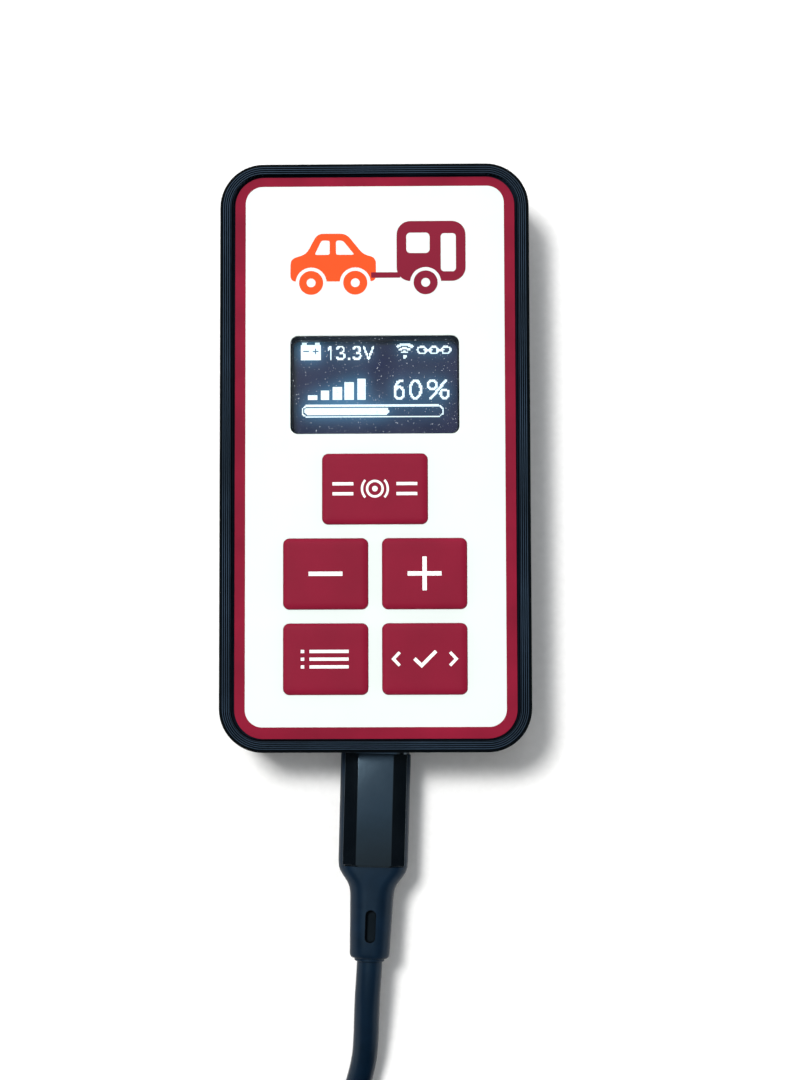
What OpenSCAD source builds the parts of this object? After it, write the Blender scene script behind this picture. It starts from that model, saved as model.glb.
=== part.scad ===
// Handheld wireless brake controller: a printed case with a recessed keypad, a small display
// and a USB supply lead. The unit lies on its back, the keypad faces +Z, the display end is +Y
// and the lead leaves towards -Y. The origin is the middle of the case's footprint, on its back.

/* [Case] */
// Width of the case
case_w = 44.8; // [44.4:0.1:48]
// Length of the case
case_l = 85.2; // [84.8:0.1:90]
// Thickness of the case
case_t = 15; // [15:0.25:17]
// Corner radius of the case
corner_r = 6.3; // [5:0.1:8]
// Thickness of the side walls
wall = 1.9; // [1.5:0.1:2]
// Thickness of the front wall, under the keypad film
front_wall = 1.6; // [1.2:0.1:1.8]
// Depth of the rim around the keypad film
rim_depth = 1; // [0.8:0.1:1.2]
// Thickness of the back cover
cover_t = 2; // [1.5:0.1:2]

/* [Keypad] */
// Width of the keypad film
film_w = 40.5; // [40:0.1:40.8]
// Length of the keypad film
film_l = 81.3; // [80:0.1:81.4]
// Thickness of the keypad film
film_t = 0.5; // [0.3:0.05:0.6]
// Width of the brake key
brake_key_w = 15.2; // [12:0.1:18]
// Width of each small key
small_key_w = 12.2; // [10:0.1:12.6]
// Length of every key, top to bottom
key_l = 10.2; // [8:0.1:10.6]
// Sideways distance of the small keys from the middle line
key_offset_x = 7.1; // [7:0.05:7.4]
// Distance between two rows of keys
key_pitch_y = 12.22; // [11.8:0.01:12.4]
// Place of the brake key below the middle of the case
brake_key_y = -4.82; // [-5:0.01:-4.6]
// Travel of a key
key_travel = 0.5; // [0.3:0.05:0.5]

/* [Display] */
// Width of the clear window
window_w = 24.4; // [22:0.1:25]
// Height of the clear window
window_l = 14.3; // [12:0.1:15]
// Place of the window above the middle of the case
window_y = 10.33; // [10:0.01:11]
// Middle of the lit area, above the middle of the case
active_y = 11.3; // [11:0.1:11.6]

/* [Cable] */
// Diameter of the cable
cable_d = 3.7; // [3.4:0.1:4]
// Width of the plug's grip
grip_w = 10.2; // [9.8:0.1:12]
// Length of the plug's grip
grip_l = 16.5; // [14:0.5:20]
// Angle at which the grip leans to one side
grip_lean = -1.6; // [-2:0.1:0]
// Radius of the middle turns of the stored coil
coil_r = 20.5; // [18.5:0.5:22]

/* [Hidden] */

$fn = 48;
eps = 0.01;

// Heights through the case, from the back
film_z = case_t - rim_depth;
film_top = film_z + film_t;
front_under = film_z - front_wall;
board_t = 1.6;
board_z = cover_t + 1.8;
board_top = board_z + board_t;
oled_board_t = 1.2;
oled_glass_t = 1.4;
gasket_t = 0.4;
oled_glass_z = front_under - gasket_t - oled_glass_t;
oled_board_z = oled_glass_z - oled_board_t;

// Printed case
edge_step = 0.12;
edge_h = 0.3;
pocket_w = 41.1;
pocket_l = 81.8;
pocket_r = 4.4;
pocket_y = 0.14;
film_r = 4.2;
film_x = 0.05;
film_y = 0.02;
cavity_w = case_w - 2 * wall;
cavity_l = case_l - 2 * wall;
cavity_r = corner_r - wall;
cover_gap = 0.2;
boss_x = cavity_w / 2 - 3.5;
boss_y = cavity_l / 2 - 3.5;
boss_r = 4;
insert_r = 1.8;
insert_l = 4;
screw_r = 1.15;
screw_head_r = 2.25;
screw_head_z = 0.15;
screw_head_h = 1.2;
screw_clear = 0.2;
screw_slot_w = 0.5;
screw_slot_h = 0.8;
post_x = 17.6;
post_ys = [22, -24];
post_r = 2;
post_bore_r = 0.8;
board_screw_r = 0.75;
board_screw_l = 5;
board_screw_head_r = 1.9;
board_screw_head_h = 1.3;
board_hole_r = 1.1;

// Keypad
small_key_row_1 = brake_key_y - key_pitch_y;
small_key_row_2 = brake_key_y - 2 * key_pitch_y;
key_r = 0.9;
key_gap = 0.12;
key_top = film_top + 0.45;
key_bevel = 0.35;
key_bevel_h = 0.16;
flange_out = 0.6;
flange_t = 0.4;
flange_top = front_under - 0.05;
flange_z = flange_top - flange_t;
KEYS = [
    [0, brake_key_y],
    [-key_offset_x, small_key_row_1],
    [key_offset_x, small_key_row_1],
    [-key_offset_x, small_key_row_2],
    [key_offset_x, small_key_row_2]
];
KEY_W = [brake_key_w, small_key_w, small_key_w, small_key_w, small_key_w];

// Key switches
switch_w = 6;
switch_h = 3.4;
switch_cover_t = 0.2;
switch_top = board_top + switch_h;
switch_floor = board_top + 1.8;
stem_r = 1.7;
stem_bore_r = 1.8;
stem_flange_r = 2.1;
stem_flange_z = switch_floor + 0.6;
switch_cavity_r = 2.35;
dome_r = 2.1;
dome_h = 0.55;
dome_t = 0.08;
terminal_y = 2.25;
terminal_l = 1.2;
terminal_w = 0.7;
terminal_t = 0.2;

// Display module
window_r = 1.1;
wall_window_w = 23.9;
wall_window_l = 13.65;
wall_window_y = 10.13;
oled_glass_w = 26.7;
oled_glass_l = 19.26;
oled_y = active_y + 2.1;
oled_board_w = 27.3;
oled_board_l = 27.8;
oled_hole_x = 11.65;
oled_hole_y = 11.9;
peg_r = 0.9;
peg_hole_r = 1;
peg_boss_r = 1.5;
header_y = oled_y - oled_board_l / 2 + 1.4;
header_pitch = 2.54;
pin_w = 0.6;
pin_hole_r = 0.5;
header_h = 2.5;
pin_out = 1.2;
flex_w = 12;
flex_t = 0.15;
flex_tail = 6;
gasket_w = 26.4;
gasket_l = 18;
gasket_r = 1;
gasket_y = oled_y - 0.5;
gasket_in_w = 24.6;
gasket_in_l = 14;
gasket_in_y = active_y - 0.45;

// Main board
board_w = 39.6;
board_l = 65.2;
tongue_w = 23.6;
tongue_l = 79.6;
RADIO_PLACE = [-9, 13.9, board_top];
RADIO_SIZE = [18, 25.5, 0.8];
SHIELD_PLACE = [-8, 14.6, board_top + 0.8];
SHIELD_SIZE = [16, 17.6, 2.4];
REGULATOR_PLACE = [5.2, -38.2, board_top];
REGULATOR_SIZE = [6.5, 3.5, 1.6];
REGULATOR_LEG = [0.7, 1.4, 0.3];
leg_pitch = 2.3;
CAPACITOR_PLACE = [-8.6, -36.9, board_top];
capacitor_base_w = 5.2;
capacitor_base_t = 0.8;
capacitor_r = 2.5;
capacitor_h = 5.2;
CHIP_CAPACITOR = [1.25, 2, 1.2];
CHIP_RESISTOR = [0.8, 1.6, 0.5];

// USB socket in the bottom wall
socket_w = 8.94;
socket_h = 3.16;
socket_wall = 0.3;
socket_l = 7.35;
socket_mouth = -case_l / 2 + 0.3;
socket_z = board_top + socket_h / 2;
socket_tongue_w = 6.5;
socket_tongue_l = 5.4;
socket_tongue_t = 0.7;
socket_block_l = 0.6;
port_clear = 0.18;

// USB plug on the cable
plug_w = 8.25;
plug_h = 2.4;
plug_wall = 0.25;
plug_reach = 6.5;
plug_root = 4;
plug_slot_w = 6.9;
plug_slot_l = 5.6;
plug_slot_h = 1.1;
grip_y = -case_l / 2 - 0.3;
grip_h = 4.8;
core_w = 9;
core_flat_w = 5.1;
core_h = 5.7;
core_shoulder_h = 4;
core_l = grip_l - 0.2;
shoulder_l = 3.2;
relief_l = 9.9;
relief_w = 6.3;
relief_end_w = 5.85;
relief_h = 4.9;
relief_lean = -0.8;
tip_l = 0.45;
tip_w = 4.4;
slice_t = 0.02;
relief_slot_w = 1.4;
relief_slot_l = 4.6;
relief_slot_h = 0.8;
relief_slot_at = 5.2;
// [distance past the grip, width, height] of the shoulder's sections
SHOULDER = [
    [-0.3, grip_w, grip_h], [0.9, grip_w - 0.5, grip_h], [2.3, grip_w - 2.2, relief_h],
    [shoulder_l, relief_w, relief_h]
];

// Route of the cable from the plug to the coil, by hand
cable_r = cable_d / 2;
cable_sides = 8;
CABLE_ROUTE = [
    [-1.1, -72.95, 6.98], [-1.22, -75, 6.95], [-1.43, -78, 6.7], [-1.57, -81, 6.1], [-1.7, -84, 5.3],
    [-1.95, -87, 4.4], [-2.6, -90, 3.5], [-3.55, -93, 2.8], [-4.8, -96, 2.3], [-6.2, -99, 2],
    [-7.75, -102, 1.9], [-9.3, -105, 1.85], [-10.8, -108, 1.85], [-12.15, -111, 1.85]
];

// Stored coil, three turns wide and three high
coil_entry_x = -14.8;
coil_x = coil_r + cable_d + coil_entry_x;
coil_y = -122;
coil_turns = 3;
coil_w = coil_turns * cable_d;
coil_h = coil_turns * cable_d;
tie_angle = 315;
tie_w = 4;
tie_t = 0.8;
tie_r = 1.5;
tie_gap = 0.05;
tie_in_w = coil_w + 1;
tie_in_h = coil_h + 0.3;

// Tail: half a turn of tail_r that leaves the top layer and climbs to the far plug
tail_r = 15;
tail_x = coil_x + coil_r - tail_r;
tail_z = coil_h - cable_r;
tail_start = 50;
tail_step = 13;
tail_run = 2;

// Far plug, lying on the coil
far_x = tail_x - tail_r;
far_y = coil_y - tail_run;
far_grip_w = 15;
far_grip_h = 7;
far_grip_l = 20;
far_grip_r = 2;
far_z = coil_h + far_grip_h / 2 + 0.15;
far_relief_l = 9;
far_relief_d = 6.4;
far_relief_end_d = 4.7;
far_shell_w = 12;
far_shell_h = 4.5;
far_shell_wall = 0.3;
far_shell_l = 12;
far_shell_r = 0.6;
latch_w = 2.2;
latch_x = 2.6;
far_tongue_h = 1.9;
contact_w = 1;
contact_t = 0.15;
contact_l = 7.5;
contact_xs = [-3.5, -1, 1, 3.5];
far_mouth = far_y - far_relief_l - far_grip_l;
far_tongue_w = far_shell_w - 2 * far_shell_wall - 0.7;
far_tongue_z = far_z - far_shell_h / 2 + far_shell_wall + 0.02;

case_colour = [0.1, 0.12, 0.15];
maroon = [0.6, 0.14, 0.24];
board_green = [0.06, 0.3, 0.16];
board_blue = [0.05, 0.13, 0.3];
black_plastic = [0.06, 0.06, 0.07];
steel = [0.72, 0.73, 0.75];
gold = [0.85, 0.68, 0.3];
cable_colour = [0.11, 0.13, 0.17];

// Outlines

module round_rect(w, l, r) {
    square([w - 2 * r, l], center = true);
    square([w, l - 2 * r], center = true);
    for (sx = [-1, 1], sy = [-1, 1])
        translate([sx * (w / 2 - r), sy * (l / 2 - r)])
            circle(r);
}

module round_plate(w, l, r, z, t, y = 0) {
    translate([0, y, z])
        linear_extrude(t)
            round_rect(w, l, r);
}

// A bar with a rounded outline, running towards -Y from y_start
module bar_y(w, h, r, y_start, length, z) {
    translate([0, y_start, z])
        rotate([90, 0, 0])
            linear_extrude(length)
                round_rect(w, h, r);
}

module at_corners(x, y) {
    for (sx = [-1, 1], sy = [-1, 1])
        translate([sx * x, sy * y, 0])
            children();
}

module at_posts() {
    for (sx = [-1, 1], py = post_ys)
        translate([sx * post_x, py, 0])
            children();
}

module at_keys() {
    for (k = KEYS)
        translate([k[0], k[1], 0])
            children();
}

module at_pins() {
    for (i = [0:3])
        translate([(i - 1.5) * header_pitch, header_y, 0])
            children();
}

// Case and cover

// The outline with its first and last layers set in
module case_block() {
    round_plate(case_w - 2 * edge_step, case_l - 2 * edge_step, corner_r - edge_step, 0, case_t);
    round_plate(case_w, case_l, corner_r, edge_h, case_t - 2 * edge_h);
}

module key_openings(z, t) {
    for (i = [0:len(KEYS) - 1])
        translate([KEYS[i][0], KEYS[i][1], 0])
            round_plate(KEY_W[i] + 2 * key_gap, key_l + 2 * key_gap, key_r + key_gap, z, t);
}

module case_shell() {
    color(case_colour)
        difference() {
            union() {
                difference() {
                    case_block();
                    round_plate(cavity_w, cavity_l, cavity_r, -1, front_under + 1);
                    round_plate(pocket_w, pocket_l, pocket_r, film_z, rim_depth + 1, pocket_y);
                    round_plate(wall_window_w, wall_window_l, window_r, front_under - 1,
                        front_wall + 2, wall_window_y);
                    key_openings(front_under - 1, front_wall + 2);
                    bar_y(socket_w + 2 * port_clear, socket_h + 2 * port_clear,
                        socket_h / 2 + port_clear - eps, -case_l / 2 + wall + 1, wall + 2, socket_z);
                }
                at_corners(boss_x, boss_y)
                    translate([0, 0, cover_t + 0.05])
                        cylinder(r = boss_r, h = front_under - cover_t);
                at_posts()
                    translate([0, 0, board_top])
                        cylinder(r = post_r, h = front_under - board_top + 0.2);
                translate([0, oled_y, 0])
                    at_corners(oled_hole_x, oled_hole_y) {
                        translate([0, 0, oled_glass_z])
                            cylinder(r = peg_boss_r, h = front_under - oled_glass_z + 0.2);
                        translate([0, 0, oled_board_z - 0.3])
                            cylinder(r = peg_r, h = front_under - oled_board_z);
                    }
            }
            at_corners(boss_x, boss_y)
                cylinder(r = insert_r, h = cover_t + insert_l + 2);
            at_posts()
                cylinder(r = post_bore_r, h = board_top + board_screw_l);
        }
}

module back_cover() {
    color(case_colour)
        difference() {
            round_plate(cavity_w - 2 * cover_gap, cavity_l - 2 * cover_gap, cavity_r - cover_gap, 0, cover_t);
            at_corners(boss_x, boss_y) {
                translate([0, 0, -1])
                    cylinder(r = screw_r + screw_clear, h = cover_t + 2);
                translate([0, 0, -eps])
                    cylinder(r1 = screw_head_r + screw_clear, r2 = screw_r + screw_clear,
                        h = screw_head_z + screw_head_h);
            }
        }
}

module cover_screws() {
    color(steel)
        at_corners(boss_x, boss_y)
            difference() {
                union() {
                    translate([0, 0, screw_head_z])
                        cylinder(r1 = screw_head_r, r2 = screw_r, h = screw_head_h);
                    translate([0, 0, screw_head_h])
                        cylinder(r = screw_r, h = cover_t + insert_l - screw_head_h);
                }
                for (a = [45, 135])
                    rotate([0, 0, a])
                        translate([-screw_head_r / 2, -screw_slot_w / 2, 0])
                            cube([screw_head_r, screw_slot_w, screw_slot_h]);
            }
}

module threaded_inserts() {
    color(gold)
        at_corners(boss_x, boss_y)
            translate([0, 0, cover_t + 0.05])
                difference() {
                    cylinder(r = insert_r, h = insert_l);
                    translate([0, 0, -1])
                        cylinder(r = screw_r + 0.1, h = insert_l + 2);
                }
}

// Keypad film, window and keys

module keypad_film() {
    color("white")
        difference() {
            translate([film_x, 0, 0])
                round_plate(film_w, film_l, film_r, film_z, film_t, film_y);
            round_plate(window_w + 2 * eps, window_l + 2 * eps, window_r + eps, film_z - 1, film_t + 2,
                window_y);
            key_openings(film_z - 1, film_t + 2);
        }
}

module display_window() {
    color([0.3, 0.35, 0.45, 0.4])
        round_plate(window_w, window_l, window_r, film_z, film_t, window_y);
}

module key_cap(i) {
    color(maroon)
        translate([KEYS[i][0], KEYS[i][1], 0]) {
            round_plate(KEY_W[i] + 2 * flange_out, key_l + 2 * flange_out, key_r + flange_out,
                flange_z, flange_t);
            for (s = [0:2])
                round_plate(KEY_W[i] - 2 * s * key_bevel, key_l - 2 * s * key_bevel, key_r - s * key_bevel,
                    flange_top - eps, key_top - (2 - s) * key_bevel_h - flange_top + eps);
        }
}

module brake_key() { key_cap(0); }
module minus_key() { key_cap(1); }
module plus_key() { key_cap(2); }
module menu_key() { key_cap(3); }
module select_key() { key_cap(4); }

// Key switches

module switch_bases() {
    color(black_plastic)
        at_keys()
            difference() {
                translate([-switch_w / 2, -switch_w / 2, board_top])
                    cube([switch_w, switch_w, switch_h]);
                translate([0, 0, switch_floor])
                    cylinder(r = switch_cavity_r, h = switch_h);
            }
}

module switch_covers() {
    color(steel)
        at_keys()
            translate([0, 0, switch_top])
                difference() {
                    translate([-switch_w / 2, -switch_w / 2, 0])
                        cube([switch_w, switch_w, switch_cover_t]);
                    translate([0, 0, -1])
                        cylinder(r = stem_bore_r, h = 2 + switch_cover_t);
                }
}

module switch_terminals() {
    color(steel)
        at_keys()
            for (turn = [0, 180], sy = [-1, 1])
                rotate([0, 0, turn])
                    translate([switch_w / 2, sy * terminal_y - terminal_w / 2, board_top])
                        cube([terminal_l, terminal_w, terminal_t]);
}

module snap_dome(i) {
    sphere_r = (dome_r * dome_r + dome_h * dome_h) / (2 * dome_h);
    color(steel)
        translate([KEYS[i][0], KEYS[i][1], switch_floor])
            intersection() {
                cylinder(r = dome_r, h = dome_h);
                translate([0, 0, dome_h - sphere_r])
                    difference() {
                        sphere(sphere_r);
                        sphere(sphere_r - dome_t);
                    }
            }
}

module brake_dome() { snap_dome(0); }
module minus_dome() { snap_dome(1); }
module plus_dome() { snap_dome(2); }
module menu_dome() { snap_dome(3); }
module select_dome() { snap_dome(4); }

module switch_stem(i) {
    color(black_plastic)
        translate([KEYS[i][0], KEYS[i][1], 0]) {
            translate([0, 0, stem_flange_z])
                cylinder(r = stem_flange_r, h = switch_top - stem_flange_z - 0.1);
            translate([0, 0, stem_flange_z])
                cylinder(r = stem_r, h = flange_z - stem_flange_z);
        }
}

module brake_stem() { switch_stem(0); }
module minus_stem() { switch_stem(1); }
module plus_stem() { switch_stem(2); }
module menu_stem() { switch_stem(3); }
module select_stem() { switch_stem(4); }

// Display module

module display_gasket() {
    color([0.1, 0.1, 0.11])
        difference() {
            round_plate(gasket_w, gasket_l, gasket_r, oled_glass_z + oled_glass_t, gasket_t, gasket_y);
            round_plate(gasket_in_w, gasket_in_l, gasket_r, oled_glass_z, gasket_t + 3, gasket_in_y);
        }
}

module oled_glass() {
    color([0.03, 0.04, 0.08])
        translate([-oled_glass_w / 2, oled_y - oled_glass_l / 2, oled_glass_z])
            cube([oled_glass_w, oled_glass_l, oled_glass_t]);
}

module oled_flex() {
    edge = oled_y + oled_board_l / 2 + 0.15;
    start = oled_y + oled_glass_l / 2;
    under = oled_board_z - 0.2 - flex_t;
    color([0.7, 0.45, 0.12])
        translate([-flex_w / 2, 0, 0]) {
            translate([0, start, oled_glass_z + 0.05])
                cube([flex_w, edge + flex_t - start, flex_t]);
            translate([0, edge, under])
                cube([flex_w, flex_t, oled_glass_z + 0.05 + flex_t - under]);
            translate([0, edge - flex_tail, under])
                cube([flex_w, flex_tail + flex_t, flex_t]);
        }
}

module oled_board() {
    color(board_blue)
        difference() {
            translate([-oled_board_w / 2, oled_y - oled_board_l / 2, oled_board_z])
                cube([oled_board_w, oled_board_l, oled_board_t]);
            translate([0, oled_y, oled_board_z - 1])
                at_corners(oled_hole_x, oled_hole_y)
                    cylinder(r = peg_hole_r, h = oled_board_t + 2);
            at_pins()
                cylinder(r = pin_hole_r, h = case_t);
        }
}

module oled_header() {
    color(black_plastic)
        difference() {
            translate([-2 * header_pitch, header_y - header_pitch / 2, oled_board_z - header_h])
                cube([4 * header_pitch, header_pitch, header_h]);
            at_pins()
                cylinder(r = pin_hole_r, h = case_t);
        }
}

module oled_header_pins() {
    color(gold)
        at_pins()
            translate([-pin_w / 2, -pin_w / 2, board_z - pin_out])
                cube([pin_w, pin_w, oled_glass_z + 0.4 - board_z + pin_out]);
}

// Main board and what is on it

module main_board() {
    color(board_green)
        difference() {
            translate([0, 0, board_z])
                linear_extrude(board_t) {
                    square([board_w, board_l], center = true);
                    square([tongue_w, tongue_l], center = true);
                }
            at_posts()
                cylinder(r = board_hole_r, h = case_t);
            at_pins()
                cylinder(r = pin_hole_r, h = case_t);
        }
}

module board_screws() {
    color(steel)
        at_posts() {
            translate([0, 0, board_z - board_screw_head_h])
                cylinder(r = board_screw_head_r, h = board_screw_head_h);
            translate([0, 0, board_z - eps])
                cylinder(r = board_screw_r, h = board_screw_l);
        }
}

module radio_board() {
    color([0.08, 0.09, 0.1])
        translate(RADIO_PLACE)
            cube(RADIO_SIZE);
}

module radio_shield() {
    color(steel)
        translate(SHIELD_PLACE)
            cube(SHIELD_SIZE);
}

module voltage_regulator() {
    color(black_plastic)
        translate(REGULATOR_PLACE) {
            cube(REGULATOR_SIZE);
            for (i = [-1, 0, 1])
                translate([(REGULATOR_SIZE[0] - REGULATOR_LEG[0]) / 2 + i * leg_pitch, REGULATOR_SIZE[1], 0])
                    cube(REGULATOR_LEG);
        }
}

module storage_capacitor() {
    color([0.75, 0.76, 0.78])
        translate(CAPACITOR_PLACE) {
            translate([-capacitor_base_w / 2, -capacitor_base_w / 2, 0])
                cube([capacitor_base_w, capacitor_base_w, capacitor_base_t]);
            cylinder(r = capacitor_r, h = capacitor_h);
        }
}

module chip_capacitors() {
    color([0.72, 0.6, 0.42])
        for (x = [-16.4, -14.4], y = [-8, -4, 0, 4])
            translate([x, y, board_top])
                cube(CHIP_CAPACITOR);
}

module chip_resistors() {
    color(black_plastic)
        for (x = [14.4, 16.4], y = [-10, -7, -4, -1, 2, 5])
            translate([x, y, board_top])
                cube(CHIP_RESISTOR);
}

module usb_socket_shell() {
    color(steel)
        difference() {
            bar_y(socket_w, socket_h, socket_h / 2 - eps, socket_mouth + socket_l, socket_l, socket_z);
            bar_y(socket_w - 2 * socket_wall, socket_h - 2 * socket_wall, socket_h / 2 - socket_wall - eps,
                socket_mouth + socket_l - socket_wall, socket_l, socket_z);
        }
}

module usb_socket_tongue() {
    back = socket_mouth + socket_l - socket_wall;
    color(black_plastic) {
        bar_y(socket_w - 2 * socket_wall - 0.06, socket_h - 2 * socket_wall - 0.06,
            socket_h / 2 - socket_wall - 0.04, back, socket_block_l, socket_z);
        translate([-socket_tongue_w / 2, back - 0.4 - socket_tongue_l, socket_z - socket_tongue_t / 2])
            cube([socket_tongue_w, socket_tongue_l, socket_tongue_t]);
    }
}

// Cable, near plug

module plug_shell() {
    front = grip_y + plug_reach;
    color(steel)
        difference() {
            bar_y(plug_w, plug_h, plug_h / 2 - eps, front, plug_reach + plug_root, socket_z);
            bar_y(plug_w - 2 * plug_wall, plug_h - 2 * plug_wall, plug_h / 2 - plug_wall - eps,
                front + 1, plug_reach + plug_root + 2, socket_z);
        }
}

module plug_insert() {
    front = grip_y + plug_reach - 0.1;
    color(black_plastic)
        difference() {
            bar_y(plug_w - 2 * plug_wall - 0.04, plug_h - 2 * plug_wall - 0.04,
                plug_h / 2 - plug_wall - 0.03, front, plug_reach + plug_root - 0.1, socket_z);
            translate([-plug_slot_w / 2, front - plug_slot_l, socket_z - plug_slot_h / 2])
                cube([plug_slot_w, plug_slot_l + 1, plug_slot_h]);
        }
}

module leaning() {
    translate([0, grip_y, 0])
        rotate([0, 0, grip_lean])
            translate([0, -grip_y, 0])
                children();
}

module core_outline() {
    polygon([
        [-core_flat_w / 2, core_h / 2], [core_flat_w / 2, core_h / 2],
        [core_w / 2, core_shoulder_h / 2], [core_w / 2, -core_shoulder_h / 2],
        [core_flat_w / 2, -core_h / 2], [-core_flat_w / 2, -core_h / 2],
        [-core_w / 2, -core_shoulder_h / 2], [-core_w / 2, core_shoulder_h / 2]
    ]);
}

module plug_core() {
    color([0.03, 0.03, 0.04])
        difference() {
            leaning()
                translate([0, grip_y, socket_z])
                    rotate([90, 0, 0])
                        linear_extrude(core_l)
                            core_outline();
            bar_y(plug_w + 2 * eps, plug_h + 2 * eps, plug_h / 2 - eps, grip_y + 1,
                plug_root + 1 + eps, socket_z);
        }
}

module relief_slice(w, h, y) {
    translate([0, y, 0])
        rotate([90, 0, 0])
            linear_extrude(slice_t)
                round_rect(w, h, min(w, h) / 2 - 0.1, $fn = 32);
}

module plug_sleeve() {
    grip_end = grip_y - grip_l;
    color(cable_colour)
        leaning() {
            difference() {
                bar_y(grip_w, grip_h, grip_h / 2 - 0.1, grip_y, grip_l, socket_z);
                bar_y(core_w + 0.04, grip_h + 2, 0.1, grip_y + 1, core_l + 1.02, socket_z);
            }
            translate([0, grip_end, socket_z])
                rotate([0, 0, relief_lean])
                    difference() {
                        union() {
                            hull()
                                for (part = SHOULDER)
                                    relief_slice(part[1], part[2], -part[0]);
                            hull() {
                                relief_slice(relief_w, relief_h, -shoulder_l + 0.1);
                                relief_slice(relief_end_w, relief_h - 0.1, -shoulder_l - relief_l);
                            }
                            translate([0, -shoulder_l - relief_l, 0])
                                rotate([90, 0, 0])
                                    cylinder(r = tip_w / 2, h = tip_l);
                        }
                        translate([0, -shoulder_l - relief_slot_at, relief_h / 2 - relief_slot_h])
                            linear_extrude(2)
                                round_rect(relief_slot_w, relief_slot_l, relief_slot_w / 2 - eps);
                    }
        }
}

// Cable, coil and tie

function unit(v) = v / norm(v);

function heading(path, i) = unit(path[min(i + 1, len(path) - 1)] - path[max(i - 1, 0)]);

function ring_points(path, i) =
    let (
        ahead = heading(path, i),
        side = unit(cross(ahead, [0, 0, 1])),
        up = cross(side, ahead)
    )
    [for (k = [0:cable_sides - 1])
        path[i] + cable_r * (cos(360 * k / cable_sides) * side + sin(360 * k / cable_sides) * up)];

function ring_faces(i) =
    [for (k = [0:cable_sides - 1])
        let (
            a = i * cable_sides + k,
            b = i * cable_sides + (k + 1) % cable_sides
        )
        each [[a, b, b + cable_sides], [a, b + cable_sides, a + cable_sides]]];

module cable_tube(path) {
    last = len(path) - 1;
    polyhedron(
        points = [for (i = [0:last]) each ring_points(path, i)],
        faces = concat(
            [[for (k = [cable_sides - 1:-1:0]) k]],
            [for (i = [0:last - 1]) each ring_faces(i)],
            [[for (k = [0:cable_sides - 1]) last * cable_sides + k]]
        )
    );
}

module cable_jacket() {
    color(cable_colour)
        cable_tube(CABLE_ROUTE);
}

module cable_coil() {
    chamfer = 1;
    color(cable_colour)
        difference() {
            translate([coil_x, coil_y, 0])
                rotate_extrude($fn = 96)
                    translate([coil_r, coil_h / 2])
                        polygon([
                            [-coil_w / 2 + chamfer, -coil_h / 2], [coil_w / 2 - chamfer, -coil_h / 2],
                            [coil_w / 2, -coil_h / 2 + chamfer], [coil_w / 2, coil_h / 2 - chamfer],
                            [coil_w / 2 - chamfer, coil_h / 2], [-coil_w / 2 + chamfer, coil_h / 2],
                            [-coil_w / 2, coil_h / 2 - chamfer], [-coil_w / 2, -coil_h / 2 + chamfer]
                        ]);
            at_tie()
                translate([-coil_w, -tie_w / 2 - 0.2, -1])
                    cube([2 * coil_w, tie_w + 0.4, 1 + tie_t + tie_gap]);
        }
}

module at_tie() {
    translate([coil_x, coil_y, 0])
        rotate([0, 0, tie_angle])
            translate([coil_r, 0, 0])
                children();
}

module cable_tie() {
    color([0.04, 0.04, 0.05])
        at_tie()
            translate([0, tie_w / 2, tie_in_h / 2 + tie_t])
                rotate([90, 0, 0])
                    linear_extrude(tie_w)
                        difference() {
                            round_rect(tie_in_w + 2 * tie_t, tie_in_h + 2 * tie_t, tie_r);
                            round_rect(tie_in_w, tie_in_h, tie_r - tie_t);
                        }
}

function climb(t) = t * t * (3 - 2 * t);

TAIL_ROUTE = [
    for (a = [tail_start:tail_step:180])
        [
            tail_x + tail_r * cos(a),
            coil_y + tail_r * sin(a),
            tail_z + (far_z - tail_z) * climb(a / 180)
        ],
    [far_x, far_y, far_z]
];

module cable_tail() {
    color(cable_colour)
        cable_tube(TAIL_ROUTE);
}

// Far plug

module far_relief() {
    color(cable_colour)
        translate([far_x, far_y, far_z])
            rotate([90, 0, 0])
                cylinder(r1 = far_relief_end_d / 2, r2 = far_relief_d / 2, h = far_relief_l);
}

module far_grip() {
    color(cable_colour)
        translate([far_x, 0, 0])
            bar_y(far_grip_w, far_grip_h, far_grip_r, far_y - far_relief_l, far_grip_l, far_z);
}

module far_shell() {
    color(steel)
        translate([far_x, 0, 0])
            difference() {
                bar_y(far_shell_w, far_shell_h, far_shell_r, far_mouth, far_shell_l, far_z);
                bar_y(far_shell_w - 2 * far_shell_wall, far_shell_h - 2 * far_shell_wall,
                    far_shell_r - far_shell_wall, far_mouth + 1, far_shell_l + 2, far_z);
                for (sx = [-1, 1])
                    translate([sx * latch_x - latch_w / 2, far_mouth - 7, far_z - far_shell_h])
                        cube([latch_w, latch_w, 2 * far_shell_h]);
            }
}

module far_insulator() {
    color([0.05, 0.05, 0.06])
        translate([far_x - far_tongue_w / 2, far_mouth - far_shell_l + 0.4, far_tongue_z])
            cube([far_tongue_w, far_shell_l - 0.4, far_tongue_h]);
}

module far_contacts() {
    color(gold)
        for (x = contact_xs)
            translate([far_x + x - contact_w / 2, far_mouth - far_shell_l + 1.4, far_tongue_z + far_tongue_h])
                cube([contact_w, contact_l, contact_t]);
}

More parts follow.
